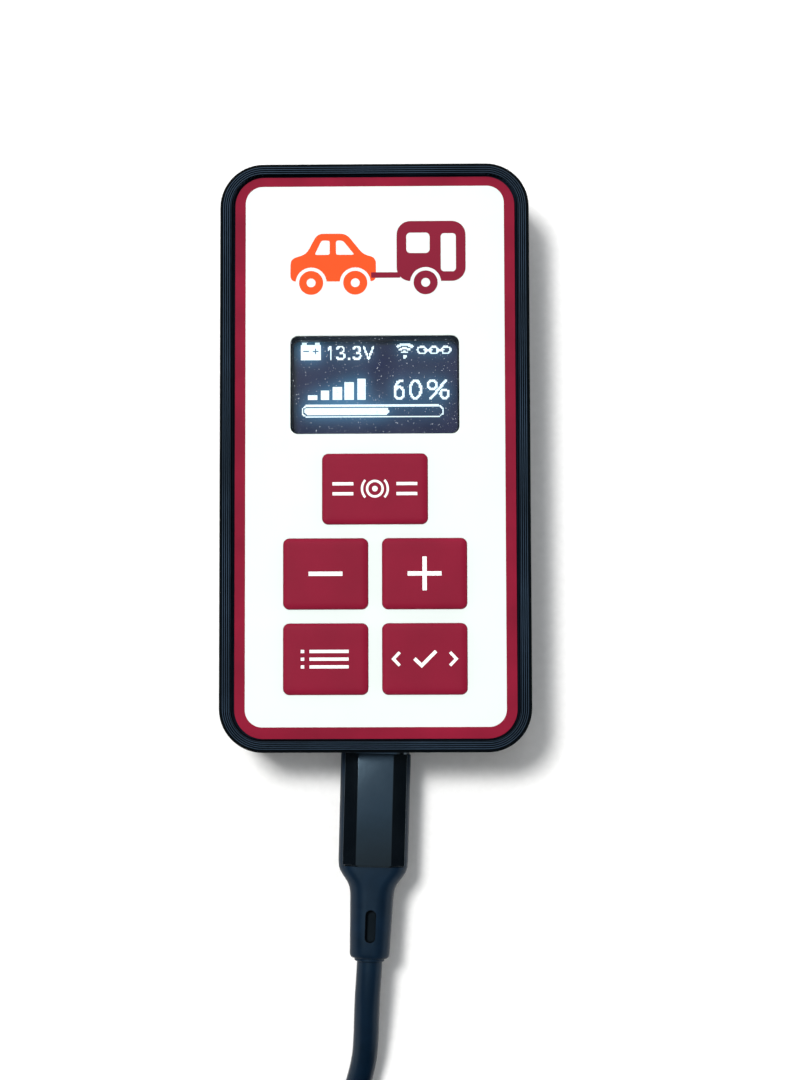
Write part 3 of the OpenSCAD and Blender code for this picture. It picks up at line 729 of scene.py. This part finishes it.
# name: (width, x, y)
KEYS = {
    "brake": (15.2, 0, -4.82),
    "minus": (12.2, -7.1, -17.04),
    "plus": (12.2, 7.1, -17.04),
    "menu": (12.2, -7.1, -29.26),
    "select": (12.2, 7.1, -29.26),
}
KEY_PROFILE = [
    (-0.6, 11.95), (-0.6, 12.35), (0, 12.35), (0, 14.5), (0.02, 14.58), (0.07, 14.67), (0.17, 14.76),
    (0.32, 14.84), (0.5, 14.9), (0.72, 14.94), (1.0, 14.955), (1.6, 14.96),
]
KEY_TOP = 14.96
INK_T = 0.02
BADGE_LOW = 25.4
WHEEL_Y = 25.2
# Radii of the gap round a wheel, of the wheel and of its hub
WHEEL_RADII = (2.25, 1.75, 0.65)


def make_film(look):
    gap, length = 2 * KEY_SLIT, KEY_L + 2 * KEY_SLIT
    holes = [rounded_rect(w + gap, length, KEY_R + KEY_SLIT, x, y) for w, x, y in KEYS.values()]
    painted = [(rounded_rect(*FILM_OUTLINE, steps=14), 0), (rounded_rect(*FIELD_OUTLINE, steps=14), 1)]
    painted += [(outline, None) for outline in [rounded_rect(*WINDOW_OUTLINE), *holes]]
    film = plate("keypad_face", painted, FILM_LOW, FILM_TOP, [look["film_border"], look["film_field"]])
    finish_piece(film, "case", "film_print", "keypad_film")


def bar(w, l, x=0, y=0):
    return [(x - w / 2, y - l / 2), (x + w / 2, y - l / 2), (x + w / 2, y + l / 2), (x - w / 2, y + l / 2)]


def ring(r, width):
    """A ring as (outline, slot) pairs."""
    return [(disc(0, 0, r + width / 2), 0), (disc(0, 0, r - width / 2), None)]


def key_marks():
    """The white marks: a brake sign, a minus, a plus, a list and a tick, drawn round each key's middle."""
    sides = [(arc_stroke(0, 0, 1.86, 0.32, a - 42, a + 42), 0) for a in (0, 180)]
    wings = [(bar(3.0, 0.46, s * 4.6, h), 0) for s in (-1, 1) for h in (-0.72, 0.72)]
    rows = [(bar(w, 0.46, x, y), 0) for y in (-1.1, 0, 1.1) for w, x in ((0.5, -3.3), (5.6, 0.5))]
    tick = [(stroke([(-1.5, 0.05), (-0.45, -0.95), (1.6, 1.1)], 0.5), 0)]
    hooks = [(stroke([(s * 3.6, 0.95), (s * 4.5, 0), (s * 3.6, -0.95)], 0.42), 0) for s in (-1, 1)]
    return {
        "brake": ring(1.12, 0.34) + [(disc(0, 0, 0.4), 0)] + sides + wings,
        "minus": [(bar(4.86, 0.62), 0)],
        "plus": [(bar(4.86, 0.62), 0), (bar(0.62, 4.86), 0)],
        "menu": rows,
        "select": tick + hooks,
    }


def make_keys(look):
    marks = key_marks()
    for name, (w, x, y) in KEYS.items():
        key = stacked(name + "_cap", w, KEY_L, KEY_R, KEY_PROFILE, [look["key_maroon"]], x, y, 40)
        finish_piece(key, name + "_button", "key_maroon", name + "_key")
        painted = [([(px + x, py + y) for px, py in outline], slot) for outline, slot in marks[name]]
        mark = plate(name + "_mark", painted, KEY_TOP - INK_T, KEY_TOP + INK_T, [look["ink_white"]])
        finish_piece(mark, name + "_button", "key_maroon")


def make_badge(look):
    """A car towing a trailer, in two inks."""
    roof = [(0.2, 28.9), (-1.6, 29.3), (-4.1, 32.4), (-8.3, 32.4), (-9.9, 29.4), (-12.2, 28.7)]
    car = [(-12.2, BADGE_LOW), (0.2, BADGE_LOW), *roof]
    trailer = rounded_rect(10.0, 8.8, 2.0, 8.2, BADGE_LOW + 4.4)
    rear_pane = [(-8.7, 29.3), (-6.5, 29.3), (-6.5, 31.4), (-7.7, 31.4)]
    front_pane = [(-5.6, 29.3), (-2.9, 29.3), (-4.6, 31.4), (-5.6, 31.4)]
    trailer_pane = rounded_rect(3.4, 3.0, 0.6, 6.3, 31.0)
    trailer_door = rounded_rect(2.2, 5.6, 0.5, 10.7, 29.6)
    painted = [(softened(car, 0.9), 0), (trailer, 1), (bar(4.2, 0.8, 1.6, 26.3), 1)]
    painted += [(softened(pane, 0.35), None) for pane in (rear_pane, front_pane)]
    painted += [(trailer_pane, None), (trailer_door, None)]
    for x, ink in ((-9.2, 0), (-2.8, 0), (7.4, 1)):
        painted += [(disc(x, WHEEL_Y, r), slot) for r, slot in zip(WHEEL_RADII, (None, ink, None))]
    inks = [look["ink_orange"], look["ink_maroon"]]
    badge = plate("badge", painted, FILM_TOP - INK_T, FILM_TOP + INK_T, inks)
    finish_piece(badge, "case", "film_print")


# ---------------------------------------------------------------- display

DOTS_W, DOTS_H = 128, 64
DOT_PITCH = 0.1717
DOT_FILL = 0.97
ACTIVE_X, ACTIVE_Y = 0.15, 11.37
GLASS_TOP = 12.0
GLOW_T, DOT_T = 0.01, 0.012
ELLIPSE_STEPS = 16
# Dots by which the glow goes past the lit area: sideways, above and below
GLOW_SIDE, GLOW_ABOVE, GLOW_BELOW = 6, 2, 14


def figure(name, x, y, w, h):
    """A figure or sign as bent lines in a box of the dot grid, with y downwards."""
    percent_rings = [ellipse(px, py, 0.2, 0.24, 0, 360) for px, py in ((0.2, 0.24), (0.8, 0.76))]
    shapes = {
        "0": [ellipse(0.5, 0.5, 0.5, 0.5, 0, 360)],
        "1": [[(0.1, 0.22), (0.6, 0), (0.6, 1)]],
        "3": [ellipse(0.45, 0.25, 0.45, 0.25, -160, 90), ellipse(0.45, 0.74, 0.52, 0.26, -90, 160)],
        "6": [ellipse(0.5, 0.68, 0.5, 0.32, 0, 360), ellipse(0.72, 0.62, 0.72, 0.62, 180, 282)],
        "V": [[(0, 0), (0.5, 1), (1, 0)]],
        "%": [[(0.14, 1), (0.86, 0)], *percent_rings],
    }
    return [[(x + w * px, y + h * py) for px, py in line] for line in shapes[name]]


def ellipse(x, y, rx, ry, start, end):
    steps = range(ELLIPSE_STEPS + 1)
    turns = [math.radians(start + (end - start) * k / ELLIPSE_STEPS) for k in steps]
    return [(x + rx * math.cos(a), y + ry * math.sin(a)) for a in turns]


def far_from(point, line):
    """Distance from a point to a bent line."""
    nearest = 1e9
    p = Vector(point)
    for a, b in zip(line, line[1:]):
        a, b = Vector(a), Vector(b)
        along = b - a
        t = min(1, max(0, (p - a).dot(along) / max(along.length_squared, 1e-9)))
        nearest = min(nearest, (p - a - along * t).length)
    return nearest


def screen_strokes():
    """(bent line, half width) pairs for the figures, the chain and the bar."""
    small, large, frame_half, chain_half, chain_y = 0.85, 1.1, 0.55, 0.7, 6.8
    strokes = []
    for name, x, w in (("1", 23, 4.4), ("3", 30.7, 6.6), ("3", 44.7, 6.2), ("V", 53.4, 8.2)):
        strokes += [(line, small) for line in figure(name, x, 3.4, w, 10.8)]
    for name, x, w in (("6", 79.6, 7.8), ("0", 92.6, 9.2), ("%", 108, 17.4)):
        strokes += [(line, large) for line in figure(name, x, 32.8, w, 15.2)]
    strokes.append(([(41, 13.8), (41.4, 13.8)], 0.9))
    left_end = [(4.6, 63.6), (1.4, 60.9), (1.4, 56.7), (4.6, 54)]
    right_end = [(117.2, 54), (120.4, 56.7), (120.4, 60.9), (117.2, 63.6)]
    strokes.append((left_end + right_end + left_end[:1], frame_half))
    strokes.append(([(6.4, 58.8), (71.4, 58.8)], 3.2))
    for x in (102.8, 113.1, 123.4):
        strokes.append((ellipse(x, chain_y, 3.7, 3.0, 0, 360), chain_half))
    for x in (107.95, 118.25):
        strokes.append(([(x - 3.0, chain_y), (x + 3.0, chain_y)], chain_half))
    return strokes


def dot_is_lit(u, v, strokes):
    """True for a lit dot: a battery, a voltage, a radio sign, a chain, level bars, a share or a bar."""
    battery = (0 <= u <= 17 and 2 <= v <= 15) or (0 <= v < 2 and (1.5 <= u <= 5 or 12 <= u <= 15.5))
    battery_sign = 7 <= v < 8 and (2 <= u < 7 or 10 <= u < 15) or (12 <= u < 13 and 5 <= v < 10)
    reach, turn = math.hypot(u - 88.2, v - 12.2), math.degrees(math.atan2(12.2 - v, u - 88.2))
    in_fan = 50 <= turn <= 130
    radio = in_fan and (3.2 <= reach <= 4.8 or 6 <= reach <= 8 or 9.2 <= reach <= 11.6) or reach <= 1.5
    step = int((u - 6.5) // 10.3)
    levels = 0 <= step <= 4 and (u - 6.5) % 10.3 <= 7.4 and 48.8 - (4 + 3.5 * step) <= v <= 48.8
    if (battery and not battery_sign) or radio or levels:
        return True
    return any(far_from((u, v), line) <= half for line, half in strokes)


def screen_dots():
    strokes = screen_strokes()
    return [[dot_is_lit(u + 0.5, v + 0.5, strokes) for u in range(DOTS_W)] for v in range(DOTS_H)]


def dot_corner(u, v):
    """Place of a grid corner on the display, in millimetres."""
    return ACTIVE_X + (u - DOTS_W / 2) * DOT_PITCH, ACTIVE_Y - (v - DOTS_H / 2) * DOT_PITCH


def spread(values, reach):
    """Each value replaced by the mean of its neighbours, along one line."""
    padded = [0.0] * reach + list(values) + [0.0] * reach
    return [sum(padded[i:i + 2 * reach + 1]) / (2 * reach + 1) for i in range(len(values))]


def blurred(grid, *reaches):
    for reach in reaches:
        grid = [spread(row, reach) for row in grid]
        grid = [list(column) for column in zip(*[spread(column, reach) for column in zip(*grid)])]
    return grid


def glow_field(lit):
    """The light that spreads round the lit dots, from 0 to 1 on each grid corner."""
    side = [0.0] * GLOW_SIDE
    rows = [side + [float(dot) for dot in row] + side + [0.0] for row in lit]
    empty = [0.0] * len(rows[0])
    near = blurred([empty] * GLOW_ABOVE + rows + [empty] * (GLOW_BELOW + 1), 2, 4, 5)
    wide = blurred(near, 9, 9)
    return [[min(1, 0.45 * a + 0.5 * b) for a, b in zip(*pair)] for pair in zip(near, wide)]


def make_screen(look):
    lit = screen_dots()
    boxes, faces = [], []
    half = DOT_PITCH * DOT_FILL / 2
    for v in range(DOTS_H):
        for u in range(DOTS_W):
            if lit[v][u]:
                x, y = dot_corner(u + 0.5, v + 0.5)
                first = len(boxes)
                for z in (GLASS_TOP + GLOW_T / 2, GLASS_TOP + GLOW_T + DOT_T):
                    boxes += rise(bar(2 * half, 2 * half, x, y), z)
                faces += [[first + i for i in face] for face in ring_faces(2, 4)]
    dots = build("screen_dots", boxes, faces, [look["dot_lit"]])
    finish_piece(dots, "case", "display_glass")
    make_glow(look, glow_field(lit))


def make_glow(look, field):
    """A thin slab over the display's lit area that holds the glow."""
    rows, columns = len(field[::2]), len(field[0][::2])
    points, values = [], []
    for z in (GLASS_TOP + 0.001, GLASS_TOP + GLOW_T):
        for j, row in enumerate(field[::2]):
            for i, value in enumerate(row[::2]):
                points.append((*dot_corner(2 * i - GLOW_SIDE, 2 * j - GLOW_ABOVE), z))
                values.append(value)
    n = columns * rows
    corners = [j * columns + i for j in range(rows - 1) for i in range(columns - 1)]
    cells = [[k, k + columns, k + columns + 1, k + 1] for k in corners]
    faces = [cell[::-1] for cell in cells] + [[k + n for k in cell] for cell in cells]
    rim = list(range(columns)) + [j * columns + columns - 1 for j in range(1, rows)]
    rim += [n - 2 - i for i in range(columns - 1)] + [j * columns for j in range(rows - 2, 0, -1)]
    faces += [[a, a + n, b + n, b] for a, b in zip(rim, rim[1:] + rim[:1])]
    glow = build("screen_glow", points, faces, [look["display_glass"]])
    glow.data.attributes.new("glow", "FLOAT", "POINT").data.foreach_set("value", values)
    finish_piece(glow, "case", "display_glass")


# ---------------------------------------------------------------- plugs and tie

SOCKET_Z = 6.98
GRIP_X, GRIP_Y = -0.12, -42.9
COLLAR_START, COLLAR_END = GRIP_Y + 0.24, -43.2
GRIP_LEAN = math.radians(-1.6)
RELIEF_START = 16.5
RELIEF_LEAN = math.radians(-0.8)
# (distance along the grip, width, height) of the soft sleeve
SLEEVE = [
    (0, 9.7, 4.3), (0.06, 10.0, 4.6), (0.22, 10.2, 4.8), (8, 10.2, 4.8), (15.6, 10.15, 4.8),
    (16.5, 10.0, 4.82), (17.1, 9.6, 4.85), (17.7, 8.9, 4.88), (18.3, 8.0, 4.9), (18.9, 7.2, 4.9),
    (19.5, 6.7, 4.9), (20.2, 6.42, 4.9), (21.2, 6.3, 4.9), (24, 6.1, 4.87), (27, 5.92, 4.84),
    (28.9, 5.8, 4.82), (29.3, 5.7, 4.72), (29.52, 5.4, 4.5), (29.6, 5.0, 4.3),
]
TIP = [(29.5, 4.2, 4.2), (29.55, 4.35, 4.35), (29.95, 4.35, 4.35), (30.05, 4.1, 4.1)]
CORE_END = 16.35
CORE_X = 0.1
CORE_HALF, CORE_FLAT_HALF = 4.5, 2.55
CORE_FLAT_Z, CORE_EDGE_Z = 2.85, 2.0
COLLAR_SIZE = (9.6, 4.2)
# Outlines on the strain relief: width, length, corner radius and place
RECESS = (1.34, 4.5, 0.66, 0, 24.9)
RECESS_LIP = (1.8, 4.96, 0.89, 0, 24.9)


def rotated(x, y, angle):
    """The point turned about the origin."""
    return x * math.cos(angle) - y * math.sin(angle), x * math.sin(angle) + y * math.cos(angle)


def leaned(x, s, z):
    """A point of the near plug from its own axes, s along it, to the row frame."""
    if s > RELIEF_START:
        x, past = rotated(x, s - RELIEF_START, -RELIEF_LEAN)
        s = RELIEF_START + past
    x, s = rotated(x, s, -GRIP_LEAN)
    return GRIP_X + x, GRIP_Y - s, SOCKET_Z + z


def oval(w, h):
    return rounded_rect(w, h, min(w, h) / 2 - 0.05, steps=8)


def leaning_solid(name, sections, materials):
    rings = [[leaned(x, s, z) for x, z in oval(w, h)] for s, w, h in sections]
    return loft(name, rings, materials, SOFT_SHARP)


def leaning_tool(name, shapes, slot):
    """A cutting tool through outlines at heights. The faces it leaves get that material slot."""
    rings = [[leaned(x, s, z) for x, s in shape[::-1]] for shape, z in shapes]
    tool = loft(name, rings, [])
    tool.data.polygons.foreach_set("material_index", [slot] * len(tool.data.polygons))
    return tool


def make_sleeve(look):
    sleeve = leaning_solid("plug_sleeve_soft", SLEEVE, [look["plug_soft"], look["plug_recess_shade"]])
    window = rounded_rect(2 * CORE_HALF - 0.04, 2 * CORE_END, 0.35, CORE_X)
    cut(sleeve, leaning_tool("window_tool", ((window, -4), (window, 4)), 0), "DIFFERENCE")
    recess, lip = rounded_rect(*RECESS), rounded_rect(*RECESS_LIP)
    # the recess's faces take slot 1, the painted-shade copy of the rubber
    cut(sleeve, leaning_tool("recess_tool", ((recess, 1.3), (recess, 2.25), (lip, 2.6)), 1), "DIFFERENCE")
    reshade(sleeve, 40)
    finish_piece(sleeve, "supply_lead", "plug_soft", "plug_sleeve")
    tip = leaning_solid("plug_tip", TIP, [look["plug_soft"]])
    return [sleeve, finish_piece(tip, "supply_lead", "plug_soft")]


def make_core(look):
    half = [(CORE_FLAT_HALF, CORE_FLAT_Z), (CORE_HALF, CORE_EDGE_Z)]
    half += [(x, -z) for x, z in half[::-1]]
    outline = half + [(-x, z) for x, z in half[::-1]]
    sections = ((0.05, 1), (CORE_END - 0.2, 1), (CORE_END - 0.2, 0.9), (CORE_END + 0.05, 0.9))
    rings = [[leaned(CORE_X + x * share, s, z * share) for x, z in outline] for s, share in sections]
    core = loft("plug_core_gloss", rings, [look["plug_gloss"]], 25)
    bevel = core.modifiers.new("soft_edges", "BEVEL")
    bevel.width = 0.05 * MM
    bevel.segments = 4
    bevel.limit_method = "ANGLE"
    bevel.angle_limit = math.radians(20)
    finish_piece(core, "supply_lead", "plug_gloss", "plug_core")
    section = oval(*COLLAR_SIZE)
    rings = [[(x, y, SOCKET_Z + z) for x, z in section] for y in (COLLAR_START, COLLAR_END)]
    collar = loft("plug_collar", rings, [look["plug_gloss"]])
    return [core, finish_piece(collar, "supply_lead", "plug_gloss")]


FAR_X, FAR_Y, FAR_Z = -0.1, -124.0, 14.75
# (distance, width, height, corner radius) of the far plug's grip
FAR_GRIP = [
    (9.0, 12.2, 4.6, 1.2), (9.15, 13.6, 5.8, 1.7), (9.5, 14.6, 6.6, 2.0), (10.1, 15, 7, 2.1),
    (14, 15, 7, 2.1), (16, 14.7, 6.9, 2.1), (22, 14.7, 6.9, 2.1), (24, 15, 7, 2.1), (28.5, 15, 7, 2.1),
    (28.9, 14.7, 6.7, 2.0), (29.0, 14.1, 6.1, 1.7),
]
RIBS = 5
RIB_PITCH = 1.5


def far_solid(name, sections, material):
    rings = []
    for s, w, h, r in sections:
        rings.append([(x, FAR_Y - s, z) for x, z in rounded_rect(w, h, r, FAR_X, FAR_Z, 8)])
    return loft(name, rings, [material], SOFT_SHARP)


def rib_sections():
    """(distance, diameter) pairs of the far plug's relief: rings that grow towards the grip."""
    sections = []
    for k in range(RIBS):
        start, d = 0.4 + k * RIB_PITCH, 4.85 + 0.3 * k
        sections += [(start, d - 0.5), (start + 0.25, d - 0.1), (start + 0.55, d)]
        sections += [(start + 0.85, d - 0.1), (start + 1.1, d - 0.5)]
    return sections + [(8.2, 5.7), (9.05, 6.4)]


def make_far_plug(look):
    soft = look["plug_soft"]
    ribs = far_solid("far_relief_ribs", [(s, d, d, d / 2 - 0.02) for s, d in rib_sections()], soft)
    finish_piece(ribs, "supply_lead", "plug_soft", "far_relief")
    grip = far_solid("far_grip_soft", FAR_GRIP, soft)
    finish_piece(grip, "supply_lead", "plug_soft", "far_grip")
    return [ribs, grip, make_ridges(soft)]


def make_ridges(soft):
    """Cross ridges on both faces of the far grip."""
    points, faces = [], []
    for k in range(-3, 4):
        outline = rounded_rect(8, 0.7, 0.34, FAR_X, FAR_Y - 19 + 1.3 * k, 4)
        for side in (-1, 1):
            z = FAR_Z + side * 3.3
            faces += [[len(points) + i for i in face] for face in ring_faces(2, len(outline))]
            points += rise(outline, z - 0.3) + rise(outline, z + 0.3)
    ridges = build("far_grip_ridges", points, faces, [soft], 40)
    return finish_piece(ridges, "supply_lead", "plug_soft")


TIE_W, TIE_T = 4.0, 0.8
# The outermost cords under the tie, measured outwards and upwards from the middle of the coil's bundle
TIED_CORDS = [(3.7, 2.65), (3.7, 7.86), (0, 10.05), (-3.7, 6.35), (-3.7, 2.65)]
LAP_START, LAP_END = 12, 22
TIE_TURN = math.radians(TIE_ANGLE)
TIE_RADIAL = Vector((math.cos(TIE_TURN), math.sin(TIE_TURN), 0))
TIE_MIDDLE = Vector((COIL_MIDDLE[0], COIL_MIDDLE[1], 0)) / MM + COLUMNS[1] / MM * TIE_RADIAL
UP = Vector((0, 0, 1))


def hugging_path(centres, r):
    """The closed line that lies r outside a ring of centres, counter-clockwise."""
    path = []
    for before, here, after in zip(centres[-1:] + centres[:-1], centres, centres[1:] + centres[:1]):
        start = math.degrees(math.atan2(before[0] - here[0], here[1] - before[1]))
        end = math.degrees(math.atan2(here[0] - after[0], after[1] - here[1]))
        path += arc(*here, r, start, start + (end - start) % 360, 6)
    return path


def tie_section(middle, ahead, out, thick):
    """A rounded cross-section of the tie round a point of its path."""
    across = ahead.cross(out)
    outline = rounded_rect(TIE_W, thick, thick / 2 - 0.05, steps=3)
    return [tuple(middle + across * u + out * v) for u, v in outline]


def tie_rings(line, lift, thick, closed):
    """The tie's cross-sections along a line drawn across the coil, raised off it by the lift."""
    rings = []
    for i, here in enumerate(line):
        before, after = line[i - 1], line[(i + 1) % len(line)]
        if not closed:
            before, after = line[max(i - 1, 0)], line[min(i + 1, len(line) - 1)]
        flat = (Vector(after) - Vector(before)).normalized()
        ahead = TIE_RADIAL * flat.x + UP * flat.y
        out = TIE_RADIAL * flat.y - UP * flat.x
        middle = TIE_MIDDLE + TIE_RADIAL * here[0] + UP * here[1] + out * lift
        rings.append(tie_section(middle, ahead, out, thick))
    return rings


def make_tie(look):
    path = hugging_path(TIED_CORDS, CABLE_D / 2 / MM + TIE_T / 2)
    loop = loft("tie_band", tie_rings(path, 0, TIE_T, True), [look["tie_fabric"]], SOFT_SHARP, closed=True)
    finish_piece(loop, "supply_lead", "tie_fabric", "cable_tie")
    lap = tie_rings(path[LAP_START:LAP_END], TIE_T * 0.95, TIE_T * 0.9, False)
    flap = loft("tie_flap", lap, [look["tie_fabric"]], SOFT_SHARP)
    return [loop, finish_piece(flap, "supply_lead", "tie_fabric")]


# ---------------------------------------------------------------- CAD nodes that stay


def rename_packed():
    """Frees the record's slot names for the scene's own materials."""
    for material in list(bpy.data.materials):
        material.name = "packed_" + material.name


def dress_nodes(look):
    """Gives every CAD node the material of its slot."""
    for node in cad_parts.values():
        for i, material in enumerate(node.data.materials):
            slot = material.name.removeprefix("packed_")
            node.data.materials[i] = look["film_field" if slot == "film_print" else slot]


# ---------------------------------------------------------------- stage

FLOOR_SIDE = 6.0
FLOOR_DROP = 0.00002
LAMP_PLACE = (-0.36, 0.335, 1.28)
LAMP_SIZE = 0.30
LAMP_POWER = 18.1


def make_floor():
    half = FLOOR_SIDE / 2
    material, shader = principled("floor_paper", Roughness=0.9, Specular_IOR_Level=0.1)
    fibres = noise_at(material, place(material), 900, 3)
    graded(material, shader, "Base Color", fibres, (0.3, srgb(236, 236, 236)), (0.7, srgb(241, 241, 241)))
    points = [(-half, -half, 0), (half, -half, 0), (half, half, 0), (-half, half, 0)]
    floor = build("floor", points, [[0, 1, 2, 3]], [material], scale=1)
    floor.location.z = -FLOOR_DROP


def area_light(name, location, target, size, power, colour):
    data = bpy.data.lights.new(name, "AREA")
    data.shape = "RECTANGLE"
    data.size, data.size_y = size
    data.energy = power
    data.color = colour
    light = add_object(name, data)
    light.location = location
    light.rotation_euler = (Vector(target) - Vector(location)).to_track_quat("-Z", "Y").to_euler()


def make_lights():
    area_light("main_light", LAMP_PLACE, (0, -0.02, 0), (LAMP_SIZE, LAMP_SIZE), LAMP_POWER, (1, 0.99, 0.97))
    area_light("top_panel", (0.0, 0.12, 0.9), (0, 0.12, 0), (0.4, 0.46), 0.47, (0.5, 0.72, 1))
    area_light("low_panel", (0.0, -0.14, 0.91), (0, -0.14, 0), (0.4, 0.14), 0.06, (0.25, 0.65, 1))
    area_light("back_strip", (-0.1, 0.75, 0.55), (0, 0, 0.01), (0.6, 0.12), 1.6, (1, 1, 1))


# (sine of the height above the horizon, brightness)
SKY = ((0.0, 3.2), (0.22, 2.2), (0.36, 0.04), (0.74, 0.04), (0.86, 0.55))


def make_world():
    world = bpy.data.worlds.new("studio")
    bpy.context.scene.world = world
    world.use_nodes = True
    nodes, links = world.node_tree.nodes, world.node_tree.links
    background = nodes["Background"]
    coordinates = nodes.new("ShaderNodeTexCoord")
    split = nodes.new("ShaderNodeSeparateXYZ")
    sky = nodes.new("ShaderNodeValToRGB")
    links.new(coordinates.outputs["Generated"], split.inputs[0])
    links.new(split.outputs["Z"], sky.inputs["Fac"])
    links.new(sky.outputs["Color"], background.inputs["Color"])
    set_stops(sky, [(height, (value, 0.98 * value, 0.94 * value, 1)) for height, value in SKY])
    bpy.context.scene.view_settings.view_transform = "Standard"


# ---------------------------------------------------------------- run


make_camera()
rename_packed()
look = make_materials()
cord, cord_line = make_cord(look)
make_case(look)
make_film(look)
make_keys(look)
make_badge(look)
make_screen(look)
on_cord = make_sleeve(look) + make_core(look) + make_far_plug(look) + make_tie(look)
dress_nodes(look)
on_cord += ["plug_shell", "plug_insert", "far_shell", "far_insulator", "far_contacts"]
make_floor()
make_lights()
make_world()
